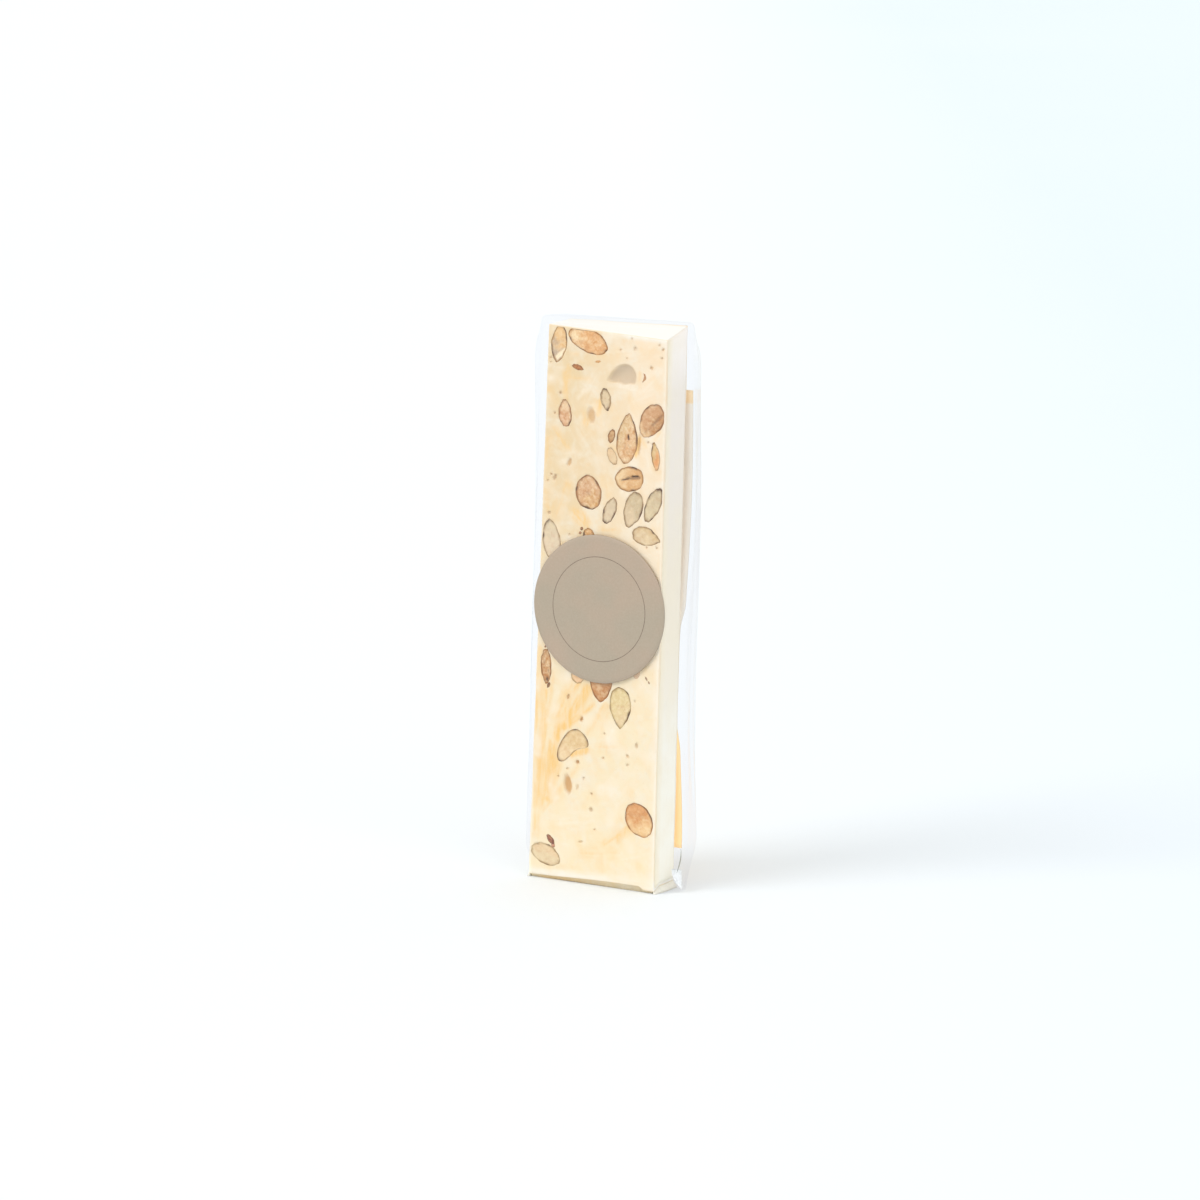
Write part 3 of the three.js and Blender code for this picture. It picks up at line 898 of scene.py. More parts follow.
def end_cap(skin, lines, share, grain):
    """The rounded edge and the flat of the foot or the top."""
    top = share > 0.5
    up = 1.0 if top else -1.0
    rings = []
    for turn in (0, 30, 60, 90):
        rise, level = math.sin(math.radians(turn)), math.cos(math.radians(turn))
        ring = []
        for column in lines:
            place, out = wall_point(column, share, END_ROUND * (1 - level), END_ROUND * rise)
            warm, pale = hidden_tints(*place)
            if top:
                # Painted highlight on the top's rounding and behind its front edge; painted warm shade
                # along the back seam.
                seam = top_seam(place[0], place[1])
                warm = max(warm * 0.3, seam * 0.7)
                white = max(smooth(1.6 - 2 * level), smooth((place[1] - BAR_FRONT - 0.2) / 0.6))
                white *= 1 - seam
                pale = max(pale, 0.4)
            else:
                # Painted warm shade on the underside, and painted highlight on the rounding of the bottom
                # edge, most on the left.
                under = smooth(rise * 2 - 1.2)
                warm = lerp(warm, underside_painted_shade(place[0]), under)
                white = 0.3 * (1 - under) * (1 - smooth((place[0] + 8) / 14))
                pale = 0.4 * (1 - under)
            way = (out[0] * level, out[1] * level, rise * up)
            ring.append(skin.point(place, way, warm, pale, white=white))
        rings.append(ring)
    join(skin.faces, rings, flip=not top)
    # The flat inside the last ring.
    edge = [skin.points[i] for i in rings[-1]]
    flat = [Vector((p[0], p[1])) for p in edge]
    height = top_level if top else foot_level
    step = grain / MM * 1.15
    low_x, high_x = min(p[0] for p in edge), max(p[0] for p in edge)
    low_y, high_y = min(p[1] for p in edge), max(p[1] for p in edge)
    draw = random.Random(SEEDS["top" if top else "foot"])
    x = low_x + 0.7 * step
    while x < high_x - 0.6 * step:
        y = low_y + 0.7 * step
        while y < high_y - 0.6 * step:
            shaken = (x + draw.uniform(-0.15, 0.15) * step, y + draw.uniform(-0.15, 0.15) * step)
            flat.append(Vector(shaken))
            y += step
        x += step
    places, _, faces, originals, _, _ = delaunay_2d_cdt(flat, closed_loop(0, len(edge)), [], 1, 1e-4)
    numbers = []
    for (x, y), origin in zip(places, originals):
        known = [i for i in origin if i < len(edge)]
        if known:
            numbers.append(rings[-1][known[0]])
            continue
        # Painted warm shade on the flat underside.
        warm, pale, white = underside_painted_shade(x), 0.0, 0.0
        if top:
            warm, pale = hidden_tints(x, y, height(x, y))
            seam = top_seam(x, y)
            # Painted highlight: the flat top is whitened, except along the shaded back seam.
            warm, pale, white = max(warm * 0.3, seam * 0.7), max(pale, 0.5), 1.0 - seam
        numbers.append(skin.point((x, y, height(x, y)), (0.0, 0.0, up), warm, pale, white=white))
    skin.patch(faces, numbers, not top)


def relief(x, y, z):
    """Unevenness of a knife-cut face in soft nougat, in millimetres."""
    broad = 0.14 * cloud(x, y, z, 17.0)
    middle = 0.05 * cloud(x + 40, y, z, 4.2)
    drag = 0.025 * cloud(x * 0.35, y, z + 11, 1.3)
    return broad + middle + drag


def nougat_mesh(settings):
    """The whole bar as one closed skin."""
    skin = Skin()
    lines = columns(settings)
    rows = round(BAR_HEIGHT * MM / settings.grain / 1.25)
    named = {}
    for line in lines:
        named.setdefault(line[0], []).append(line)

    def border(side, right_line):
        """Outline of a cut face: along the foot, up, back along the top and down."""
        columns_across = [*named[side], right_line]
        foot, top = ([wall_point(c, share)[0] for c in columns_across] for share in (0.0, 1.0))
        right = [wall_point(right_line, i / rows)[0] for i in range(1, rows)]
        left = [wall_point(named[side][0], i / rows)[0] for i in range(rows - 1, 0, -1)]
        return foot + right + top[::-1] + left

    front = border("front", named["front-right"][0])
    back = border("back", named["back-left"][0])
    hollows = list(FRONT_HOLLOWS) + pores(FRONT_PORES)
    cut_face(skin, front, BAR_FRONT, -1, FRONT_NUTS, hollows, settings.grain, face_tints, SEEDS["front"])

    def back_tints(x, z):
        return *hidden_tints(x, BAR_BACK, z), 0.0

    nuts = back_nuts()
    grain = settings.grain * BACK_GRAIN
    cut_face(skin, back, BAR_BACK, 1, nuts, back_hollows(nuts), grain, back_tints, SEEDS["back"])
    for side, before, after in (("right", "front", "back"), ("left", "back", "front")):
        wall = named[f"{before}-{side}"] + named[side] + named[f"{after}-{side}"] + [named[after][0]]
        narrow_wall(skin, wall, rows)
    end_cap(skin, lines, 0.0, settings.grain)
    end_cap(skin, lines, 1.0, settings.grain)
    for i, (place, out) in enumerate(zip(skin.points, skin.out)):
        skin.points[i] = tuple(p + o * relief(*place) for p, o in zip(place, out))
    return skin


# ==== the almonds ==================================================================


def skin_width(nut, angle):
    """Thickness of the brown skin at an angle round a nut, uneven and in places missing."""
    seed = nut.shape.seed
    uneven = 1.15 + 0.3 * math.sin(2 * angle + seed) + 0.25 * math.sin(5 * angle + 2 * seed)
    uneven += 0.2 * math.sin(11 * angle + 3 * seed)
    width = nut.skin * max(uneven, 0.3) * (1 + 0.4 * darkest(nut, angle))
    if nut.open_width:
        width *= smooth((off_by(angle, nut.open_at) - nut.open_width / 2) / 18)
    return width


def off_by(angle, degrees):
    """How many degrees an angle lies away from a direction."""
    return abs((math.degrees(angle) - degrees + 180) % 360 - 180)


def darkest(nut, angle):
    """1 where a nut's skin is darkest, 0 away from there."""
    return 0.0 if nut.dark_at < 0 else 1 - smooth(off_by(angle, nut.dark_at) / 42)


def kernel_colour(nut, x, z):
    """Colour of the cut kernel, and how dark a slit or ridge makes it, with painted shade in the slits."""
    u, v = nut.shape.inside(x, z)
    a = math.radians(nut.toward)
    own = 3.0 * nut.shape.seed
    lean = u * math.sin(a) + v * math.cos(a) + 0.5 * cloud(x, own, z, 1.7)
    colour = mixed(linear(nut.tone), linear(nut.second), smooth((lean + nut.share * 1.6 - 0.5) * 1.3))
    patchy = cloud(x, own + 5, z, 1.7) + 0.8 * cloud(x, own + 9, z, 0.8)
    colour = mixed(colour, linear(KERNEL_PALE), smooth(patchy * 2.2 - 0.35) * (0.12 + 0.36 * nut.speckle))
    colour = mixed(colour, linear(KERNEL_BROWN), smooth(-patchy * 2.2 - 0.35) * (0.06 + 0.34 * nut.speckle))
    dark = 0.0
    sink = 0.0
    for stroke in NUT_STROKES:
        weight = min(stroke.weight(x, z) * 1.4, 1.0)
        dark = max(dark, weight * stroke.strength)
        sink += weight * stroke.sink
    return colour, dark, sink


def beyond_wedge(x, z):
    """1 on the pale side of the line that crosses the first almond."""
    (ax, az), (bx, bz) = CREAM_WEDGE
    off = ((x - ax) * (bz - az) - (z - az) * (bx - ax)) / math.hypot(bx - ax, bz - az)
    return smooth(off / 0.4 + 0.5 * cloud(x, 2, z, 1.0))


def add_nut(mesh, nut, y, toward):
    """One cut almond: skin edge, cut kernel with its relief, and the rounded rest inside."""
    shape = nut.shape
    in_front = toward < 0
    count = ring_count(shape) + 8
    steps = max(5, round(shape.wide / 0.34))
    depth = nut_depth(nut) - 0.25
    bark = mixed([t * k for t, k in zip(linear(nut.tone), (1.0, 0.93, 0.74))], linear(SKIN_BROWN), 0.58)
    # Each ring: whether it is kernel, its scale, its skin widths from the outline, its depth.
    plan = [(False, 0.5, 0.0, 0.38 * depth), (False, 0.88, 0.0, 0.12 * depth + 0.35)]
    plan += [(False, 0.985, 0.0, 0.015 * depth + 0.35), (False, 1.0, 0.0, -0.012)]
    plan += [(False, 1.0, 0.45, -0.045), (False, 1.0, 1.0, 0.02)]
    plan += [(True, 1 - (i + 1) / steps, 1.0, 0.04) for i in range(steps - 1)]
    seam = 5
    rings = []
    for r, (kernel, scale, widths, sink) in enumerate(plan):
        ring = []
        for angle in (2 * math.pi * i / count for i in range(count)):
            reach = math.hypot(*shape.local(angle))
            inward = (0.03 - widths * skin_width(nut, angle)) / reach
            share = scale * (1 + inward - (0.02 if kernel else 0.0))
            x, z = shape.turned(*shape.local(angle, share), share)
            colour, dark, more = kernel_colour(nut, x, z)
            uneven = 0.0
            if kernel:
                uneven = 0.03 * nut.speckle * cloud(x, 7, z, 0.8) + 0.05 * cloud(x, 9, z, 2.4)
                uneven += more if in_front else 0.0
                if in_front and shape.seed == 1:
                    colour = mixed(colour, linear(WEDGE_CREAM), beyond_wedge(x, z))
                if nut.open_width:
                    fade = 1 - smooth((off_by(angle, nut.open_at) - nut.open_width / 2) / 25)
                    fade *= smooth((share - 0.6) / 0.4)
                    colour = mixed(colour, linear(KERNEL_BARE), fade * 0.8)
            else:
                blot = smooth((nut.skin - 0.36) * 2.5 + 2.4 * cloud(x, shape.seed, z, 1.9) - 0.1)
                blot = max(blot, darkest(nut, angle))
                brown = mixed(bark, linear(SKIN_DARK), blot * 0.9)
                thin = smooth(2.4 * cloud(x, shape.seed + 30, z, 2.4) - 0.15) * (1 - blot)
                brown = mixed(brown, linear(nut.tone), 0.5 * thin)
                colour = mixed(colour, brown, 0.5 if r == seam else 1.0)
            place = (x, y + toward * (relief(x, y, z) - sink - uneven), z)
            dark = dark if in_front and kernel else 0.0
            ring.append(put(mesh, place, tone=colour, dark=dark, speckle=nut.speckle))
        rings.append(ring)
    join(mesh["faces"], rings, flip=not in_front)
    mesh["slots"] += [1] * (seam * count) + [0] * ((len(plan) - 1 - seam) * count)
    # Middles close the two ends.
    x, z = shape.turned(*shape.local(math.pi / 2, 0.0), 0.0)
    colour, dark, more = kernel_colour(nut, x, z)
    if not in_front:
        dark = more = 0.0
    for ring, sink, darkness, slot in ((rings[0], depth, 0.0, 1), (rings[-1], 0.04 + more, dark, 0)):
        place = (x, y + toward * (relief(x, y, z) - sink), z)
        middle = put(mesh, place, tone=colour, dark=darkness, speckle=nut.speckle)
        fan(mesh["faces"], ring, middle, flip=in_front == (slot == 1))
        mesh["slots"] += [slot] * count


def add_chip(mesh, shape, colour, proud, y, toward):
    """A small brown flake: a low rounded scale half sunk in the face."""
    count = 18
    rings = []
    for share, sink in ((0.5, 0.5), (1.0, 0.25), (1.0, -0.3 * proud), (0.8, -proud), (0.4, -1.1 * proud)):
        ring = []
        for i in range(count):
            x, z = shape.turned(*shape.local(2 * math.pi * i / count, share))
            rough = 0.25 * proud * cloud(x * 2, 3, z * 2, 1.0)
            core = smooth((0.95 - share) / 0.5) + 0.25 * cloud(x * 2, 5, z * 2, 0.9)
            rim = mixed(linear(colour), linear(FLAKE_RIM), 0.55 if proud > 0.07 else 0.1)
            tone = mixed(rim, linear(colour), min(max(core, 0), 1))
            ring.append(put(mesh, (x, y - toward * (sink + rough - relief(x, y, z)), z), tone=tone))
        rings.append(ring)
    join(mesh["faces"], rings, flip=toward > 0, caps=True)


# ==== the wafer sheets =============================================================


def wafer_mesh(side):
    """A thin sheet over one narrow side, with a soft uneven edge."""
    sign = 1 if side == "right" else -1
    rows, across = 150, 12

    def place(row, column, layer):
        share_z = 0.002 + 0.996 * row / rows
        y = lerp(BAR_FRONT, BAR_BACK, lerp(0.026, 0.95, column / across))
        x = bar_edge(side, share_z * BAR_HEIGHT)
        z = lerp(foot_level(x, y) + WAFER_FOOT, top_level(x, y), share_z)
        # The sheet thins out towards its rim.
        rim = 0.12 if column == 0 else 0.45 if min(across - column, row, rows - row) == 0 else 1.0
        rim = 0.6 if column == 1 else rim
        wave = 0.07 * cloud(y, 3 * sign, z, 7.0) + 0.03 * cloud(y, sign, z, 2.0)
        ragged = 0.16 * cloud(z, sign * 5, 0, 2.3) if column == across else 0.0
        out = WAFER_THICK * rim * layer - WAFER_SEAT - 0.06 + wave * layer * min(column, 1)
        return (x + sign * out, y + ragged, z)

    points, quads, rim = sheet(place, rows, across)
    faces = quads + rim
    return points, faces if sign > 0 else flipped(faces)


# ==== the film =====================================================================


def bag_half(z):
    """Half of the bag's width, which draws in towards the closed ends."""
    foot = FOOT_TUCK * (1 - smooth(z / FOOT_TAPER))
    top = TOP_TUCK * (1 - smooth((BAG_HEIGHT - z) / TOP_TAPER))
    return BAG_WIDTH / 2 - foot - top


def bow(z):
    """How far the back panel bows away from the bar at a height."""
    out = 0.0
    for part in BOWS:
        t = abs(z - part["height"]) / part["reach"]
        if t < 1:
            out += part["depth"] * math.cos(t * math.pi / 2) ** 2
    return out


def softened(corners, rounds):
    """The corners of a polygon, each softened by a short curve of three points."""
    points = []
    for i, corner in enumerate(corners):
        before = corners[i - 1]
        after = corners[(i + 1) % len(corners)]
        start = corner + (before - corner).normalized() * rounds[i]
        end = corner + (after - corner).normalized() * rounds[i]
        points += [start, (start + end) * 0.25 + corner * 0.5, end]
    return points


def bag_ring(z, inset=0.0):
    """One level ring of the bag, with many points so that the film can crinkle."""
    right = bag_half(z) - inset
    left = -right
    panel_left = max(bar_edge("left", z) - PANEL_MARGIN, left + EDGE_ROOM)
    panel_right = min(bar_edge("right", z) + PANEL_MARGIN, right - EDGE_ROOM)
    front = FILM_FRONT + inset
    back = FILM_BACK + bow(z) - inset
    crease = lerp(front, back, CREASE_SHARE)
    corners = [
        Vector((panel_left, front)),
        Vector((panel_right, front)),
        Vector((right, crease)),
        Vector((panel_right, back)),
        Vector((panel_left, back)),
        Vector((left, crease)),
    ]
    points = softened(corners, (PANEL_ROUND, PANEL_ROUND, CREASE_ROUND) * 2)
    parts = (40, 10, 10, 40, 10, 10)
    ring = []
    for i in range(6):
        ring += points[3 * i : 3 * i + 2]
        start = points[3 * i + 2]
        end = points[(3 * i + 3) % len(points)]
        ring += [start.lerp(end, k / parts[i]) for k in range(parts[i])]
    rise = TOP_RISE * smooth((z - BAG_HEIGHT / 2) / (BAG_HEIGHT / 2))
    return [Vector((p.x, p.y, z + rise * p.x / BAG_WIDTH)) for p in ring]


def film_crinkle(p, z):
    """How far the slack film leaves its even form at a place, outwards, in millimetres."""
    left = bar_edge("left", z)
    right = bar_edge("right", z)
    beside = max(smooth((left + 1 - p.x) / 2.5), smooth((p.x - right + 1) / 2.5))
    ends = 1 - smooth(min(z, BAG_HEIGHT - z) / 16)
    long_fold = cloud(p.x * 1.5, p.y * 1.2, z * 0.07, 2.6)
    cross_fold = cloud(p.x, p.y, z * 0.8 + 0.5 * p.x, 5.5)
    crinkle = (0.1 + 0.5 * beside) * 0.5 * long_fold + (0.05 + 0.35 * ends) * 0.5 * cross_fold
    inside = min(p.x - left, right - p.x)
    pillow = PILLOW * smooth(inside / 3) * smooth(z / 8) * smooth((BAG_HEIGHT - z) / 8)
    return pillow + crinkle * (1 - 0.8 * (pillow / PILLOW))


def film_mesh():
    """The bag as one closed skin of film."""
    rows = 132
    r = FILM_END_ROUND
    levels = [(0.05, r), (r / 3, r / 3)]
    levels += [(lerp(r, BAG_HEIGHT - r, i / rows), 0.0) for i in range(rows + 1)]
    levels += [(BAG_HEIGHT - r / 3, r / 3), (BAG_HEIGHT, r)]
    sections = []
    for z, inset in levels:
        ring = bag_ring(z, inset)
        section = []
        for behind, p, ahead in zip(ring[-1:] + ring, ring, ring[1:] + ring[:1]):
            along = (ahead - behind).normalized()
            shift = 0.0 if inset else max(film_crinkle(p, z), -0.3)
            section.append(p + Vector((along.y, -along.x, 0)) * shift)
        sections.append(section)
    return lofted(sections)


def ear_mesh(side):
    """The folded corner of the film at the foot: a small flat triangle of doubled film."""
    sign = 1 if side == "right" else -1
    top = Vector((sign * 21.2, -1.9, 7.0))
    outer = Vector((sign * 24.3, -1.5, 7.1))
    tip = Vector((sign * 24.7, -1.3, 1.1))
    points, faces, layers = [], [], []
    steps = 10
    for gap in (0.0, FOLD_GAP):
        rows = []
        for r in range(steps + 1):
            t = r / steps
            row = []
            for c in range(r + 1):
                s = c / r if r else 0.0
                p = tip.lerp(top.lerp(outer, s), t)
                p.x -= sign * 0.9 * math.sin(math.pi * t) * (1 - s)
                fold = 0.35 * math.sin(2.6 * t + 2.2 * s + sign)
                row.append(len(points))
                points.append(p + Vector((0.15 * sign, -1.0, 0.0)) * (gap + fold))
            rows.append(row)
        layers.append(rows)
    for rows, outward in zip(layers, (sign < 0, sign > 0)):
        for lower, upper in zip(rows, rows[1:]):
            made = [[a, c, b] for a, b, c in zip(lower, upper, upper[1:])]
            made += [[a, b, c] for a, b, c in zip(lower, lower[1:], upper[1:])]
            faces += made if outward else flipped(made)
    loops = []
    for rows in layers:
        loops.append([row[0] for row in rows] + rows[-1][1:] + [row[-1] for row in rows[-2:0:-1]])
    join(faces, loops, flip=sign < 0)
    return points, faces


def foot_fold_mesh(side):
    """The bag's foot, folded under the bar's narrow side: a low band of doubled film."""
    sign = 1 if side == "right" else -1
    steps = 16
    edge = bar_edge(side, 0.0)
    sections = []
    for i in range(steps + 1):
        t = i / steps
        y = BAR_FRONT + lerp(FOOT_FOLD_FRONT, BAR_DEPTH - 0.4, t)
        high = STAND + foot_level(edge, y) + 0.1
        foot = 0.35 + 0.95 * math.sin(math.pi * min(t * 1.4, 1.0) / 2)
        outline = ((foot, 0.02), (0.5 * foot, 0.35 * high), (-0.16, high), (-0.5, high), (-0.5, 0.02))
        sections.append([Vector((edge + sign * out, y, z)) for out, z in outline])
    return lofted(sections, flip=sign > 0)


def crease_mesh():
    """A thin sharp crease that runs down the bag's slack side to the folded corner."""
    steps = 14
    sections = []
    for i in range(steps + 1):
        t = i / steps
        z = lerp(*CREASE_HEIGHTS, t)
        near = Vector((bar_edge("right", z) + PANEL_MARGIN, FILM_FRONT, z))
        far = Vector((bag_half(z), lerp(FILM_FRONT, FILM_BACK + bow(z), CREASE_SHARE), z))
        middle = near.lerp(far, 0.6 + 0.04 * math.sin(3 * t))
        wide = 0.05 + 0.13 * math.sin(math.pi * t)
        corners = ((-wide, 0.0), (0.0, -0.05), (wide, 0.0), (0.0, 0.05))
        sections.append([middle + Vector((dx, dy - 0.12, 0.0)) for dx, dy in corners])
    return lofted(sections)


# ==== the papers ===================================================================


def disc_mesh(centre, radius, low_y, high_y, ring_radius, ring_width):
    """A round paper with a printed ring: points, faces and which faces hold ink."""
    sides, inner_rings, outer_rings = 160, 11, 5
    inner, outer = ring_radius - ring_width / 2, ring_radius + ring_width / 2
    edge = (high_y - low_y) * 0.3
    outline = [((i + 1) * inner / inner_rings, low_y) for i in range(inner_rings)]
    outline += [(lerp(outer, radius - edge, i / outer_rings), low_y) for i in range(outer_rings + 1)]
    outline += [(radius, low_y + edge), (radius, high_y), (radius * 0.5, high_y)]
    points, faces = [], []
    for r, y in outline:
        for i in range(sides):
            a = 2 * math.pi * i / sides
            x, z = centre.x + r * math.cos(a), centre.z + r * math.sin(a)
            points.append(Vector((x, y + 0.05 * cloud(x, 4, z, 11.0) * min(1, (radius - r) / 4), z)))
    count = len(outline)
    spokes = [range(i, count * sides, sides) for i in range(sides)]
    join(faces, [*spokes, spokes[0]], closed=False)
    slots = [int(r == inner_rings - 1) for _ in spokes for r in range(count - 1)]
    for start, y, flip in ((0, low_y, False), ((count - 1) * sides, high_y, True)):
        points.append(Vector((centre.x, y, centre.z)))
        fan(faces, range(start, start + sides), len(points) - 1, flip)
        slots += [0] * sides
    return points, faces, slots


def label_mesh():
    """The long label, which follows the bowed back panel: points, faces and which face the bar."""
    rows, across = 96, 22
    foot, top = LABEL_LOW.z - LABEL_HANG, LABEL_HIGH.z

    def place(row, column, layer):
        t = row / rows
        z = lerp(foot, top, t)
        middle = lerp(LABEL_X["foot"], LABEL_X["top"], t)
        middle -= LABEL_SWAY * smooth((z - 40.8) / 11) * smooth((86.8 - z) / 8)
        x = middle + (column / across - 0.5) * LABEL_WIDTH
        y = FILM_BACK + bow(z) + PAPER_GAP + layer * LABEL_THICK + 0.06 * cloud(x, 8, z, 13.0)
        return Vector((x, y, z))

    points, quads, rim = sheet(place, rows, across)
    faces = flipped(quads) + [[a, d, c, b] for a, b, c, d in rim]
    return points, faces, [0, 1] * (rows * across) + [0] * len(rim)


# ==== materials ====================================================================


def new_material(name):
    """A material with only its output, and its node tree."""
    material = bpy.data.materials.new(name)
    material.use_nodes = True
    tree = material.node_tree
    tree.nodes.clear()
    tree.nodes.new("ShaderNodeOutputMaterial")
    return material, tree


def feed(tree, socket, value):
    """A socket takes another socket's value, a number or a colour."""
    if isinstance(value, bpy.types.NodeSocket):
        tree.links.new(value, socket)
    elif socket.type == "RGBA":
        socket.default_value = (*value, 1.0)
    else:
        socket.default_value = value


def add_node(tree, kind, inputs=None, **settings):
    """A node with its settings and what its inputs take."""
    made = tree.nodes.new(kind)
    for key, value in settings.items():
        setattr(made, key, value)
    for key, value in (inputs or {}).items():
        feed(tree, made.inputs[key], value)
    return made


def object_place(tree):
    return add_node(tree, "ShaderNodeTexCoord").outputs["Object"]


def lumps(tree, place, size, detail=3.0, roughness=0.55, distortion=0.0):
    """Soft noise from 0 to 1 with lumps of a size in millimetres."""
    inputs = {
        "Vector": place,
        "Scale": 1 / (size * MM),
        "Detail": detail,
        "Roughness": roughness,
        "Distortion": distortion,
    }
    return add_node(tree, "ShaderNodeTexNoise", inputs).outputs["Fac"]


def shifted(tree, place, by):
    """Coordinates moved away, so that one noise does not repeat another."""
    return add_node(tree, "ShaderNodeVectorMath", {0: place, 1: by}).outputs[0]


def stretched(tree, place, turn, scale):
    """Coordinates turned about the Y axis by degrees and scaled, for fibres and streaks."""
    inputs = {"Vector": place, "Rotation": (0.0, math.radians(turn), 0.0), "Scale": scale}
    return add_node(tree, "ShaderNodeMapping", inputs).outputs["Vector"]


def remap(tree, value, low, high, to_low=0.0, to_high=1.0):
    """A value from one range to another, held within it."""
    inputs = {"Value": value, "From Min": low, "From Max": high, "To Min": to_low, "To Max": to_high}
    return add_node(tree, "ShaderNodeMapRange", inputs, clamp=True).outputs["Result"]


def maths(tree, operation, first, second=0.0):
    """A sum, product or power, held between 0 and 1."""
    inputs = {0: first, 1: second}
    return add_node(tree, "ShaderNodeMath", inputs, operation=operation, use_clamp=True).outputs[0]


def blend(tree, factor, first, second, kind="MIX"):
    """Two colours mixed by a factor."""
    inputs = {0: factor, 6: first, 7: second}
    return add_node(tree, "ShaderNodeMix", inputs, data_type="RGBA", blend_type=kind).outputs[2]


def attribute(tree, name, output="Fac"):
    return add_node(tree, "ShaderNodeAttribute", attribute_name=name).outputs[output]


def bump(tree, height, strength, distance):
    """A normal that is shaken by a height, over a distance in millimetres."""
    inputs = {"Height": height, "Strength": strength, "Distance": distance * MM}
    return add_node(tree, "ShaderNodeBump", inputs).outputs["Normal"]


def axes(tree, place):
    """The three parts of coordinates, as outputs X, Y and Z."""
    return add_node(tree, "ShaderNodeSeparateXYZ", {"Vector": place}).outputs


def mixed_shaders(tree, factor, first, second):
    """A shader node between two others."""
    return add_node(tree, "ShaderNodeMixShader", {0: factor, 1: first.outputs[0], 2: second.outputs[0]})


def use_shader(tree, shader):
    """Joins a shader node to the material's output."""
    feed(tree, tree.nodes["Material Output"].inputs["Surface"], shader.outputs[0])


def principled(tree, **inputs):
    """An opaque surface, joined to the output."""
    named = {key.replace("_", " "): value for key, value in inputs.items()}
    use_shader(tree, add_node(tree, "ShaderNodeBsdfPrincipled", named))


def paper(tree, colour, fibres, smoothest, roughest):
    """A paper's surface with its fine fibres."""
    roughness = remap(tree, fibres, 0.3, 0.7, smoothest, roughest)
    principled(tree, Base_Color=colour, Roughness=roughness, Normal=bump(tree, fibres, 0.1, 0.05))


def nougat_material(colours):
    """Cream nougat with honeyed drifts, paler airy cream and fine pores; with painted shade in its pores
    and hollows, painted warm shade under the foot and painted highlight on its ends and edges.
    """
    material, tree = new_material("cut nougat")
    place = object_place(tree)
    fibre = lumps(tree, stretched(tree, place, -20, (1.0, 0.5, 0.14)), 1.3, 4.0, 0.6, 0.6)
    patch = lumps(tree, place, 3.2, 4.0, 0.6, 0.4)
    strength = remap(tree, fibre, 0.32, 0.66, 0.55, 1.1)
    warm = maths(tree, "MULTIPLY", attribute(tree, "warmth"), strength)
    drift = remap(tree, patch, 0.52, 0.78, 0.0, 0.2)
    warm = maths(tree, "ADD", warm, drift)
    pale = maths(tree, "MULTIPLY", attribute(tree, "paleness"), remap(tree, patch, 0.3, 0.6, 0.5, 1.0))
    parts = axes(tree, place)
    high = remap(tree, parts["Z"], 50 * MM, 118 * MM)
    side = remap(tree, parts["X"], -9 * MM, 12 * MM)
    upper = blend(tree, side, colours.nougat_left, colours.nougat_high)
    colour = blend(tree, high, colours.nougat, upper)
    peach = lumps(tree, shifted(tree, place, (0.31, 0.2, 0.1)), 4.6, 4.0, 0.62, 0.5)
    colour = blend(tree, remap(tree, peach, 0.5, 0.72, 0.0, 0.18), colour, colours.peach)
    milky = lumps(tree, shifted(tree, place, (0.7, 0.4, 0.9)), 5.5, 4.0, 0.6, 0.4)
    colour = blend(tree, remap(tree, milky, 0.46, 0.68, 0.0, 0.55), colour, colours.milky)
    # Warmth is honey in streaks and, under the foot and along the top's back seam, painted warm shade.
    colour = blend(tree, warm, colour, colours.honey_and_warm_shade)
    # Paleness is the nougat's own airier cream and, along the edges and ends, painted highlight.
    colour = blend(tree, pale, colour, colours.airy_and_glare_pale)
    # Painted shade: fine pores and pinholes are darkened with the pore colour.
    fine = lumps(tree, place, 0.7, 3.0, 0.6)
    colour = blend(tree, remap(tree, fine, 0.62, 0.74, 0.0, 0.16), colour, colours.pore)
    cells = {"Vector": place, "Scale": 1 / (2.4 * MM)}
    pits = add_node(tree, "ShaderNodeTexVoronoi", cells).outputs["Distance"]
    colour = blend(tree, remap(tree, pits, 0.07, 0.12, 0.16, 0.0), colour, colours.pore)
    # Painted highlight: the white point value whitens the top end, the rounded edges and the band near the
    # ground.
    colour = blend(tree, attribute(tree, "white"), colour, colours.painted_glare_white)
    # Painted shade: the insides of bubbles, pores and dents are darkened.
    colour = blend(tree, attribute(tree, "shade"), colour, colours.hollow)
    colour = blend(tree, attribute(tree, "tan"), colour, colours.caramel)
    normal = bump(tree, lumps(tree, place, 0.45, 5.0, 0.65), 0.22, 0.12)
    roughness = remap(tree, patch, 0.3, 0.7, 0.42, 0.6)
    principled(tree, Base_Color=colour, Roughness=roughness, Normal=normal, Specular_IOR_Level=0.35)
    return material


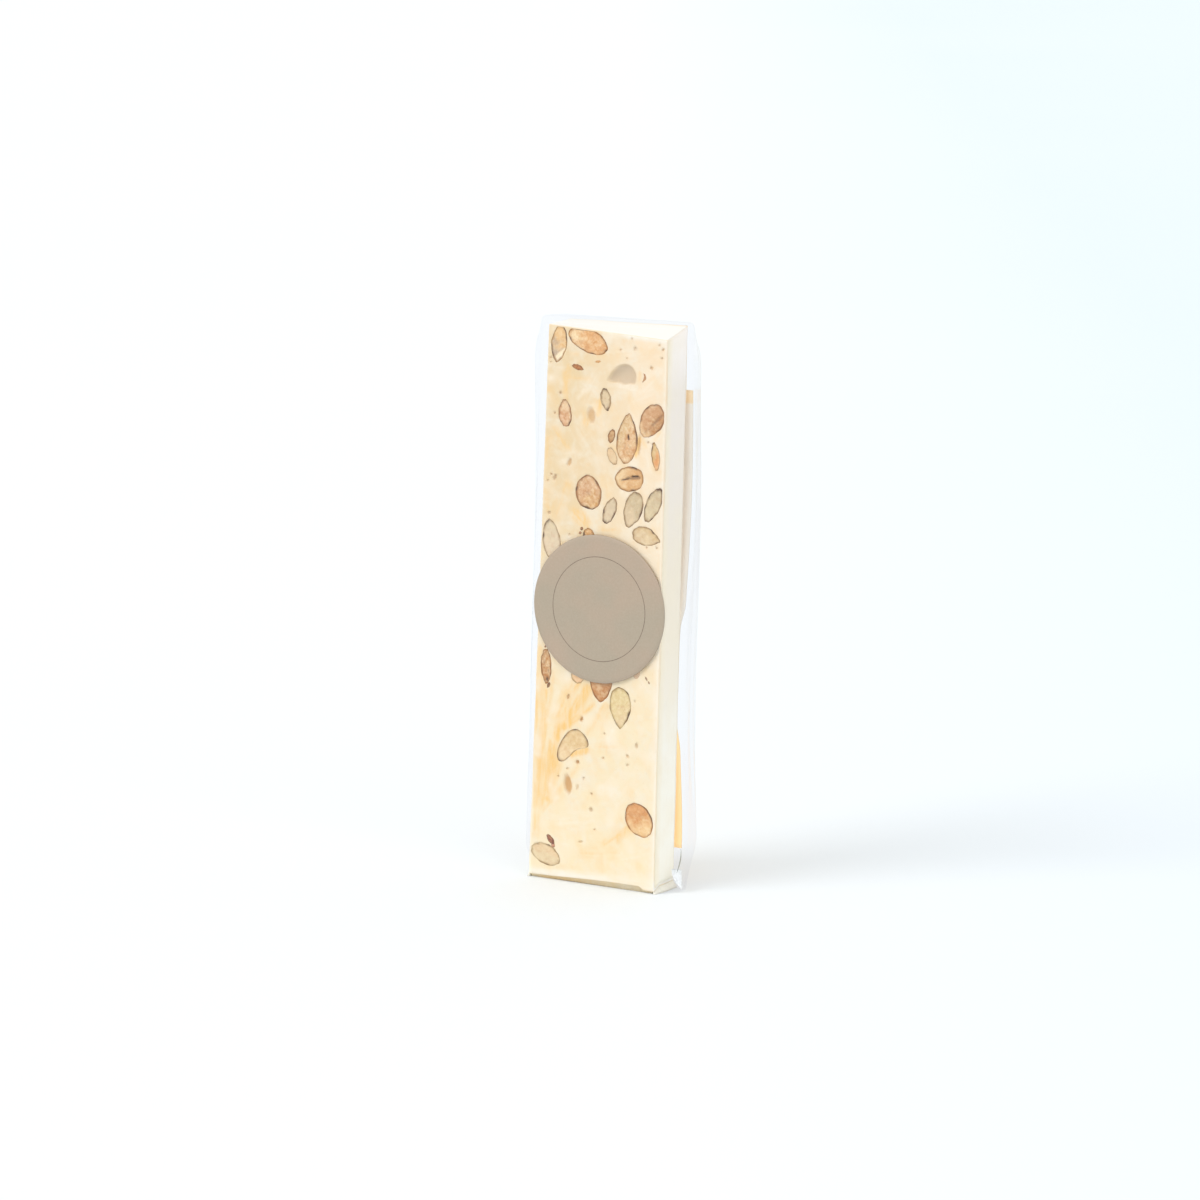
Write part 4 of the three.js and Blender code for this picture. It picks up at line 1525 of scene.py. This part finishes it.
def kernel_material():
    """Cut almond kernel: each nut's own tone, mottled and a little oily."""
    material, tree = new_material("almond kernel")
    place = object_place(tree)
    tone = attribute(tree, "tone", "Color")
    speckle = attribute(tree, "speckle")
    mottle = lumps(tree, place, 1.4, 5.0, 0.62, 0.8)
    darker = blend(tree, 1.0, tone, (0.86, 0.74, 0.6), "MULTIPLY")
    lighter = blend(tree, 0.35, tone, (0.93, 0.82, 0.58))
    colour = blend(tree, remap(tree, mottle, 0.35, 0.65), darker, lighter)
    colour = blend(tree, maths(tree, "MULTIPLY", speckle, 0.95), tone, colour)
    grains = lumps(tree, place, 0.5, 4.0, 0.7, 1.2)
    flecks = maths(tree, "MULTIPLY", remap(tree, grains, 0.57, 0.68, 0.0, 0.45), speckle)
    colour = blend(tree, flecks, colour, linear("a9683a"))
    crumbs = maths(tree, "MULTIPLY", remap(tree, grains, 0.42, 0.3, 0.0, 0.6), speckle)
    colour = blend(tree, crumbs, colour, linear("f7e6c4"))
    # The dark lines: painted shade where they are slits and cracks.
    colour = blend(tree, attribute(tree, "dark"), colour, linear("553a26"))
    normal = bump(tree, grains, 0.35, 0.12)
    principled(tree, Base_Color=colour, Roughness=remap(tree, mottle, 0.3, 0.7, 0.38, 0.55), Normal=normal)
    return material


def skin_material(colours):
    """The almond's brown skin, which runs from dark to light along its edge."""
    material, tree = new_material("almond skin")
    place = object_place(tree)
    tone = attribute(tree, "tone", "Color")
    mottle = lumps(tree, place, 0.9, 4.0, 0.6)
    colour = blend(tree, remap(tree, mottle, 0.4, 0.7, 0.0, 0.35), tone, colours.skin)
    normal = bump(tree, lumps(tree, place, 0.25, 3.0), 0.3, 0.1)
    principled(tree, Base_Color=colour, Roughness=remap(tree, mottle, 0.3, 0.7, 0.5, 0.7), Normal=normal)
    return material


def chip_material():
    """Brown flakes of skin and caramel."""
    material, tree = new_material("brown flakes")
    place = object_place(tree)
    tone = attribute(tree, "tone", "Color")
    mottle = lumps(tree, place, 0.5, 4.0, 0.6)
    colour = blend(tree, remap(tree, mottle, 0.35, 0.7, 0.0, 0.55), tone, linear("d9a36a"))
    normal = bump(tree, mottle, 0.4, 0.1)
    principled(tree, Base_Color=colour, Roughness=remap(tree, mottle, 0.3, 0.7, 0.4, 0.6), Normal=normal)
    return material


def wafer_material(colours):
    """Edible paper: matt, off-white, faintly ribbed and fibrous, warmer where nougat shows through, with
    painted light and shade along its height.
    """
    material, tree = new_material("wafer sheet")
    place = object_place(tree)
    parts = axes(tree, place)
    fibres = lumps(tree, stretched(tree, place, 0, (1.0, 1.0, 0.3)), 1.2, 4.0, 0.6)
    broad = lumps(tree, place, 9.0, 2.0)
    front = remap(tree, parts["Y"], -4.6 * MM, -7.5 * MM)
    # Painted light and shade: whitest near the foot, darker up the upper half and warmer in the middle,
    # whiter again near the top.
    high = remap(tree, parts["Z"], 30 * MM, 125 * MM)
    colour = blend(tree, high, colours.wafer, colours.wafer_high)
    top = remap(tree, parts["Z"], 152 * MM, 164 * MM)
    colour = blend(tree, top, colour, linear("faf3ec"))
    middle = remap(tree, parts["Z"], 45 * MM, 75 * MM, 0.0, 0.5)
    middle = maths(tree, "MULTIPLY", middle, remap(tree, parts["Z"], 128 * MM, 98 * MM))
    colour = blend(tree, middle, colour, linear("efe2c6"))
    warm = maths(tree, "ADD", maths(tree, "MULTIPLY", front, 0.75), remap(tree, broad, 0.4, 0.7, 0.0, 0.3))
    colour = blend(tree, warm, colour, colours.wafer_warm)
    colour = blend(tree, remap(tree, fibres, 0.55, 0.75, 0.0, 0.2), colour, linear("e9dfca"))
    normal = bump(tree, lumps(tree, place, 0.5, 4.0, 0.6), 0.25, 0.1)
    principled(tree, Base_Color=colour, Roughness=remap(tree, fibres, 0.3, 0.7, 0.7, 0.9), Normal=normal)
    return material


def film_material(colours, settings):
    """Clear film: see-through, with a cool tint where it is seen edge-on and a soft gloss; the tint is
    painted warm at the upper right as reflection, and tint and gloss are painted weaker near the foot and
    the top.
    """
    material, tree = new_material("clear film")
    place = object_place(tree)
    facing = add_node(tree, "ShaderNodeLayerWeight", {"Blend": 0.5}).outputs["Facing"]
    haze = lumps(tree, stretched(tree, place, 0, (1.0, 1.0, 0.15)), 4.0, 3.0)
    parts = axes(tree, place)
    height = parts["Z"]
    # Painted reflection: the edge tint turns warm at the upper right.
    side = remap(tree, parts["X"], -10 * MM, 10 * MM)
    side = maths(tree, "MULTIPLY", side, remap(tree, height, 105 * MM, 140 * MM))
    edge_tint = blend(tree, side, colours.film_edge, colours.film_warm_reflection)
    # Painted: the edge tint and the gloss fade out near the foot and near the top.
    raised = remap(tree, height, 5.0 * MM, 34.0 * MM, 0.03, 1.0)
    raised = maths(tree, "MULTIPLY", raised, remap(tree, height, 164.0 * MM, 171.0 * MM, 1.0, 0.3))
    edge = maths(tree, "MULTIPLY", maths(tree, "POWER", facing, 4.0), remap(tree, haze, 0.3, 0.7, 0.6, 1.0))
    edge = maths(tree, "MULTIPLY", edge, raised)
    tint = blend(tree, edge, colours.film_face, edge_tint)
    clear = add_node(tree, "ShaderNodeBsdfTransparent", {"Color": tint})
    gloss_inputs = {"Color": colours.film_gloss, "Roughness": settings.film_roughness}
    gloss = add_node(tree, "ShaderNodeBsdfGlossy", gloss_inputs)
    share = maths(tree, "MULTIPLY", maths(tree, "POWER", facing, 4.0), 0.5)
    share = maths(tree, "MULTIPLY", maths(tree, "ADD", share, 0.03), raised)
    use_shader(tree, mixed_shaders(tree, share, clear, gloss))
    return material


def fold_material(name, code, least, most):
    """Doubled, creased film, hazy and white: its name, colour and least and most haze."""
    material, tree = new_material(name)
    place = object_place(tree)
    haze = lumps(tree, place, 1.4, 3.0)
    clear = add_node(tree, "ShaderNodeBsdfTransparent", {"Color": linear("fcfdfd")})
    white = add_node(tree, "ShaderNodeBsdfGlossy", {"Color": linear("fdfdfd"), "Roughness": 0.35})
    milk = add_node(tree, "ShaderNodeBsdfDiffuse", {"Color": linear(code)})
    both = mixed_shaders(tree, remap(tree, haze, 0.35, 0.65, 0.35, 0.8), clear, white)
    use_shader(tree, mixed_shaders(tree, remap(tree, haze, 0.3, 0.7, least, most), both, milk))
    return material


def crease_material():
    """A sharp crease in the film, which looks grey: its grey tint is painted shade along the fold."""
    material, tree = new_material("creased film")
    haze = lumps(tree, object_place(tree), 2.0, 3.0)
    tint = blend(tree, remap(tree, haze, 0.35, 0.65), linear("d0d2cb"), linear("e4e6e0"))
    use_shader(tree, add_node(tree, "ShaderNodeBsdfTransparent", {"Color": tint}))
    return material


def sticker_material(colours):
    """Taupe sticker paper with a faint cloudiness and fine fibres."""
    material, tree = new_material("sticker paper")
    place = object_place(tree)
    clouds = lumps(tree, place, 14.0, 3.0, 0.5)
    fibres = lumps(tree, place, 0.6, 4.0, 0.65)
    colour = blend(tree, remap(tree, clouds, 0.35, 0.65), colours.sticker, colours.sticker_cool)
    colour = blend(tree, remap(tree, fibres, 0.4, 0.7, 0.0, 0.05), colour, linear("efe6da"))
    paper(tree, colour, fibres, 0.46, 0.6)
    return material


def ink_material(colours):
    """The thin printed ring."""
    material, tree = new_material("ring ink")
    place = object_place(tree)
    wear = lumps(tree, place, 0.5, 3.0)
    colour = blend(tree, remap(tree, wear, 0.45, 0.75, 0.0, 0.4), colours.ink, colours.sticker)
    principled(tree, Base_Color=colour, Roughness=remap(tree, wear, 0.3, 0.7, 0.4, 0.55))
    return material


def label_fields(tree, place, band, upper, lower):
    """Plain fields of colour: a band at the top, one tone above and one below."""
    height = axes(tree, place)["Z"]
    colour = blend(tree, remap(tree, height, 70 * MM, 56 * MM), upper, lower)
    return blend(tree, remap(tree, height, 147.0 * MM, 147.6 * MM), colour, band)


def label_material(colours):
    """The label's outer side."""
    material, tree = new_material("label paper")
    place = object_place(tree)
    fibres = lumps(tree, place, 0.7, 4.0, 0.6)
    colour = label_fields(tree, place, colours.label_band, colours.label_upper, colours.label_lower)
    colour = blend(tree, remap(tree, fibres, 0.4, 0.7, 0.0, 0.1), colour, linear("fff6e6"))
    paper(tree, colour, fibres, 0.45, 0.6)
    return material


def label_reverse_material():
    """The side towards the bar. Its grey upper field is painted shade and its orange lower field painted
    warm reflection of the nougat, and a painted glow stands in for daylight shining through from behind.
    """
    material, tree = new_material("label reverse")
    place = object_place(tree)
    fibres = lumps(tree, place, 0.7, 4.0, 0.6)
    colour = label_fields(tree, place, linear("e6d2b0"), linear("dfdace"), linear("edd59f"))
    colour = blend(tree, remap(tree, fibres, 0.4, 0.7, 0.0, 0.1), colour, linear("fff6e6"))
    # Painted glow: emission that stands in for the light shining through the paper.
    painted_glow = label_fields(tree, place, linear("8a7658"), linear("88837c"), linear("ae9168"))
    principled(
        tree,
        Base_Color=colour,
        Roughness=remap(tree, fibres, 0.3, 0.7, 0.5, 0.65),
        Emission_Color=painted_glow,
        Emission_Strength=1.0,
    )
    return material


def floor_material(colours):
    """A pale sweep that turns a little cooler towards the right: the cool cast is painted light."""
    material, tree = new_material("pale floor")
    place = object_place(tree)
    across = stretched(tree, place, 0, (0.868, 0.497, 0.0))
    parts = axes(tree, across)
    side = maths(tree, "ADD", parts["X"], parts["Y"])
    cool = remap(tree, side, 20 * MM, 310 * MM)
    clouds = lumps(tree, place, 900.0, 2.0)
    colour = blend(tree, cool, colours.floor, colours.floor_cool_cast)
    colour = blend(tree, remap(tree, clouds, 0.3, 0.7, 0.0, 0.08), colour, (0.9, 0.9, 0.9))
    principled(tree, Base_Color=colour, Roughness=0.9, Specular_IOR_Level=0.1)
    return material


# ==== settings =====================================================================


class NougatSizes(bpy.types.PropertyGroup):
    """Sizes that a user would change."""

    grain: bpy.props.FloatProperty(
        name="Grain",
        description="Spacing of the mesh on the cut faces",
        default=0.52 * MM,
        min=0.3 * MM,
        unit="LENGTH",
        precision=5,
    )
    ring_radius: bpy.props.FloatProperty(
        name="Ring radius",
        description="Radius of the thin ring printed on the sticker",
        default=15.85 * MM,
        unit="LENGTH",
        precision=5,
    )
    ring_width: bpy.props.FloatProperty(
        name="Ring width",
        description="Line width of the printed ring",
        default=0.2 * MM,
        unit="LENGTH",
        precision=5,
    )
    film_roughness: bpy.props.FloatProperty(
        name="Film roughness",
        description="How soft the film's reflections are",
        default=0.09,
        min=0.0,
        max=1.0,
        subtype="FACTOR",
    )


def colour_setting(name, description, code):
    """A colour that a user would change."""
    return bpy.props.FloatVectorProperty(
        name=name, description=description, default=linear(code), size=3, subtype="COLOR", min=0.0, max=1.0
    )


class NougatColours(bpy.types.PropertyGroup):
    """Colours that a user would change."""

    nougat: colour_setting("Nougat", "Main cream of the cut faces", "eeddb9")
    nougat_high: colour_setting("Nougat, upper", "Cream of the upper half", "edd8b8")
    nougat_left: colour_setting("Nougat, upper left", "Cream of the upper half's left", "e3cba1")
    peach: colour_setting("Peach drift", "Soft peach patches in the nougat", "f3cc98")
    milky: colour_setting("Milky drift", "Soft grey-white patches in the nougat", "ebe2cf")
    # Also painted warm shade under the bar's foot and along the top's back seam.
    honey_and_warm_shade: colour_setting("Honey", "Warm drifts in the nougat", "efc377")
    # Also painted highlight along the cut face's edges and the rounded ends.
    airy_and_glare_pale: colour_setting("Airy nougat", "Paler, airier nougat", "f3e7d2")
    # Painted highlight: the white of the glare on the top end and along the edges.
    painted_glare_white: colour_setting("Painted_glare end", "White end of the bar", "efede4")
    # Painted shade of the fine pores.
    pore: colour_setting("Pores", "Fine pores", "d9bf98")
    # Painted shade inside the bubbles, pores and dents.
    hollow: colour_setting("Hollows", "Inside of bubbles", "c6b196")
    caramel: colour_setting("Caramel", "Brown inside of some hollows", "cfa26b")
    skin: colour_setting("Almond skin", "Dark brown of the skins", "84522c")
    wafer: colour_setting("Wafer", "Edible paper", "f8f5e7")
    # Painted shade: the upper half of the sheet is darker.
    wafer_high: colour_setting("Wafer, upper", "Edible paper of the upper half", "f0e7db")
    wafer_warm: colour_setting("Wafer, warm", "Edible paper where the nougat shines through", "f3e8cd")
    film_face: colour_setting("Film, face-on", "What the film lets through face-on", "fcfcfd")
    film_edge: colour_setting("Film, edge-on", "What the film lets through edge-on", "f5f7fb")
    # Painted reflection: the film's warm tint at the upper right.
    film_warm_reflection: colour_setting("Film, right", "The same at the upper right, where it is warmer", "f7f4ec")
    film_gloss: colour_setting("Film gloss", "Tint of the film's reflections", "f9faf9")
    sticker: colour_setting("Sticker", "Taupe of the round sticker", "ab9783")
    sticker_cool: colour_setting("Sticker, cool", "Second tone of the sticker", "a39683")
    ink: colour_setting("Ink", "Thin ring on the sticker", "6b5c4d")
    label_upper: colour_setting("Label, upper", "Upper field of the back label", "dfd3c3")
    label_lower: colour_setting("Label, lower", "Lower field of the back label", "f7cf86")
    label_band: colour_setting("Label, band", "Band at the label's top", "e0c598")
    floor: colour_setting("Floor", "Pale studio floor", "e8ecee")
    # Painted light: the cool cast on the floor's right-hand side.
    floor_cool_cast: colour_setting("Floor, cool", "The floor's right-hand side", "dce7ee")


# ==== operators ====================================================================


class NOUGAT_OT_body(bpy.types.Operator):
    """Add the bar of nougat"""

    bl_idname = "nougat.add_body"
    bl_label = "Nougat"

    def execute(self, context):
        scene = context.scene
        skin = nougat_mesh(scene.nougat_sizes)
        if not skin.faces:
            raise RuntimeError("the nougat has no faces")
        material = nougat_material(scene.nougat_colours)
        piece = add_object("nougat", skin.points, skin.faces, [material], scalars=skin.tints, lift=STAND)
        finish_piece(piece, "nougat", "film_pack")
        return {"FINISHED"}


class NOUGAT_OT_almonds(bpy.types.Operator):
    """Add the cut almonds of both faces"""

    bl_idname = "nougat.add_almonds"
    bl_label = "Almonds"

    def execute(self, context):
        mesh = {"points": [], "faces": [], "slots": [], "tone": [], "dark": [], "speckle": []}
        for nut in FRONT_NUTS:
            add_nut(mesh, nut, BAR_FRONT, -1)
        for nut in back_nuts():
            add_nut(mesh, nut, BAR_BACK, 1)
        materials = [kernel_material(), skin_material(context.scene.nougat_colours)]
        scalars = {"dark": mesh["dark"], "speckle": mesh["speckle"]}
        tones = {"tone": mesh["tone"]}
        piece = add_object(
            "almonds", mesh["points"], mesh["faces"], materials, mesh["slots"], scalars, tones, STAND
        )
        finish_piece(piece, "almond")
        return {"FINISHED"}


class NOUGAT_OT_flakes(bpy.types.Operator):
    """Add the small brown flakes in the cut face"""

    bl_idname = "nougat.add_flakes"
    bl_label = "Brown flakes"

    def execute(self, context):
        mesh = {"points": [], "faces": [], "tone": []}
        for shape, colour, proud in FRONT_CHIPS:
            add_chip(mesh, shape, colour, proud, BAR_FRONT, -1)
        tones = {"tone": mesh["tone"]}
        piece = add_object(
            "brown_flakes", mesh["points"], mesh["faces"], [chip_material()], colours=tones, lift=STAND
        )
        finish_piece(piece, "almond")
        return {"FINISHED"}


class NOUGAT_OT_wafers(bpy.types.Operator):
    """Add the wafer sheets on the narrow sides"""

    bl_idname = "nougat.add_wafers"
    bl_label = "Wafer sheets"

    def execute(self, context):
        material = wafer_material(context.scene.nougat_colours)
        for side in ("left", "right"):
            points, faces = wafer_mesh(side)
            piece = add_object(f"wafer_{side}", points, faces, [material], lift=STAND)
            finish_piece(piece, "wafer")
        return {"FINISHED"}


class NOUGAT_OT_film(bpy.types.Operator):
    """Add the clear bag with its folded foot corners"""

    bl_idname = "nougat.add_film"
    bl_label = "Clear film"

    def execute(self, context):
        scene = context.scene
        material = film_material(scene.nougat_colours, scene.nougat_sizes)
        fold = fold_material("folded corner", "f1f5f6", 0.5, 0.85)
        under = fold_material("folded foot", "efebdc", 0.85, 1.0)
        points, faces = film_mesh()
        finish_piece(add_object("clear_film", points, faces, [material]), "clear_film")
        for side in ("left", "right"):
            points, faces = ear_mesh(side)
            finish_piece(add_object(f"film_corner_{side}", points, faces, [fold]), "clear_film")
            points, faces = foot_fold_mesh(side)
            finish_piece(add_object(f"film_foot_{side}", points, faces, [under]), "clear_film")
        piece = add_object("film_crease", *crease_mesh(), [crease_material()])
        finish_piece(piece, "clear_film")
        return {"FINISHED"}


class NOUGAT_OT_sticker(bpy.types.Operator):
    """Add the round sticker with its thin ring"""

    bl_idname = "nougat.add_sticker"
    bl_label = "Round sticker"

    def execute(self, context):
        scene = context.scene
        sizes = scene.nougat_sizes
        centre = (STICKER_LOW + STICKER_HIGH) / 2
        radius = (STICKER_HIGH.x - STICKER_LOW.x) / 2
        points, faces, slots = disc_mesh(
            centre, radius, STICKER_LOW.y, STICKER_HIGH.y, sizes.ring_radius / MM, sizes.ring_width / MM
        )
        materials = [sticker_material(scene.nougat_colours), ink_material(scene.nougat_colours)]
        piece = add_object("sticker", points, faces, materials, slots)
        finish_piece(piece, "sticker_paper", "round_sticker")
        return {"FINISHED"}


class NOUGAT_OT_label(bpy.types.Operator):
    """Add the long label on the back"""

    bl_idname = "nougat.add_label"
    bl_label = "Back label"

    def execute(self, context):
        points, faces, slots = label_mesh()
        materials = [label_material(context.scene.nougat_colours), label_reverse_material()]
        piece = add_object("label", points, faces, materials, slots)
        finish_piece(piece, "label_paper", "back_label")
        return {"FINISHED"}


class NOUGAT_OT_stage(bpy.types.Operator):
    """Add the floor, the lights and the camera"""

    bl_idname = "nougat.add_stage"
    bl_label = "Stage"

    def execute(self, context):
        scene = context.scene
        floor = add_object("floor", *floor_mesh(), [floor_material(scene.nougat_colours)])
        add_world(scene)
        add_lights(scene)
        add_camera(scene)
        scene.view_settings.view_transform = "Standard"
        return {"FINISHED"}


def floor_mesh():
    """A wide disc, so that its rim lies far outside the view."""
    sides = 96
    points, faces = [(0.0, 0.0, 0.0)], []
    for r in (300.0, 1500.0, 14000.0):
        angles = np.linspace(0, 2 * math.pi, sides, False)
        points += [(r * math.cos(a), r * math.sin(a), 0.0) for a in angles]
    fan(faces, range(1, sides + 1), 0)
    spokes = [range(1 + i, len(points), sides) for i in range(sides)]
    join(faces, [*spokes, spokes[0]], closed=False)
    return points, faces


def add_world(scene):
    world = bpy.data.worlds.new("white studio")
    world.use_nodes = True
    shade = world.node_tree.nodes["Background"]
    shade.inputs["Color"].default_value = (1.0, 1.0, 1.0, 1.0)
    shade.inputs["Strength"].default_value = 1.0
    scene.world = world


def add_sun(scene, name, azimuth, elevation, spread, strength):
    """A soft distant light at a bearing from the front, in degrees to the right."""
    data = bpy.data.lights.new(name, "SUN")
    data.angle = math.radians(spread)
    data.energy = strength
    light = bpy.data.objects.new(name, data)
    a, e = math.radians(azimuth), math.radians(elevation)
    way = Vector((math.sin(a) * math.cos(e), -math.cos(a) * math.cos(e), math.sin(e)))
    light.location = way * 1.5
    light.rotation_euler = way.to_track_quat("Z", "Y").to_euler()
    scene.collection.objects.link(light)


def add_lights(scene):
    # Azimuth is counted from the front towards the right.
    add_sun(scene, "key", -33.0, 36.0, 30.0, 0.95)
    add_sun(scene, "fill", 62.0, 28.0, 40.0, 0.36)


def add_camera(scene):
    a, e = math.radians(CAMERA_AZIMUTH), math.radians(CAMERA_ELEVATION)
    back = Vector((math.sin(a) * math.cos(e), -math.cos(a) * math.cos(e), math.sin(e)))
    right = Vector((math.cos(a), math.sin(a), 0.0))
    up = back.cross(right)
    r = math.radians(CAMERA_ROLL)
    turned_right = right * math.cos(r) + up * math.sin(r)
    turned_up = up * math.cos(r) - right * math.sin(r)
    data = bpy.data.cameras.new("camera")
    data.lens = LENS
    data.sensor_width = SENSOR
    data.clip_start = 0.05
    data.clip_end = 60.0
    camera = bpy.data.objects.new("camera", data)
    place = (CAMERA_TARGET + back * CAMERA_DISTANCE) * MM
    turn = Matrix((turned_right, turned_up, back)).transposed()
    camera.matrix_world = Matrix.Translation(place) @ turn.to_4x4()
    scene.collection.objects.link(camera)
    scene.camera = camera


class NOUGAT_PT_panel(bpy.types.Panel):
    """Lists the pieces of the nougat bar."""

    bl_idname = "NOUGAT_PT_panel"
    bl_label = "Nougat bar"
    bl_space_type = "VIEW_3D"
    bl_region_type = "UI"
    bl_category = "Nougat"

    def draw(self, context):
        layout = self.layout
        for group in (context.scene.nougat_sizes, context.scene.nougat_colours):
            for name in group.__annotations__:
                layout.prop(group, name)
        for operator in OPERATORS:
            layout.operator(operator.bl_idname)


OPERATORS = (
    NOUGAT_OT_body,
    NOUGAT_OT_almonds,
    NOUGAT_OT_flakes,
    NOUGAT_OT_wafers,
    NOUGAT_OT_film,
    NOUGAT_OT_sticker,
    NOUGAT_OT_label,
    NOUGAT_OT_stage,
)
CLASSES = (NougatSizes, NougatColours, *OPERATORS, NOUGAT_PT_panel)


def register():
    for cls in CLASSES:
        bpy.utils.register_class(cls)
    bpy.types.Scene.nougat_sizes = bpy.props.PointerProperty(type=NougatSizes)
    bpy.types.Scene.nougat_colours = bpy.props.PointerProperty(type=NougatColours)


def unregister():
    del bpy.types.Scene.nougat_colours
    del bpy.types.Scene.nougat_sizes
    for cls in reversed(CLASSES):
        bpy.utils.unregister_class(cls)


def main():
    register()
    bpy.ops.nougat.add_body()
    bpy.ops.nougat.add_almonds()
    bpy.ops.nougat.add_flakes()
    bpy.ops.nougat.add_wafers()
    bpy.ops.nougat.add_film()
    bpy.ops.nougat.add_sticker()
    bpy.ops.nougat.add_label()
    bpy.ops.nougat.add_stage()


if __name__ == "__main__":
    main()
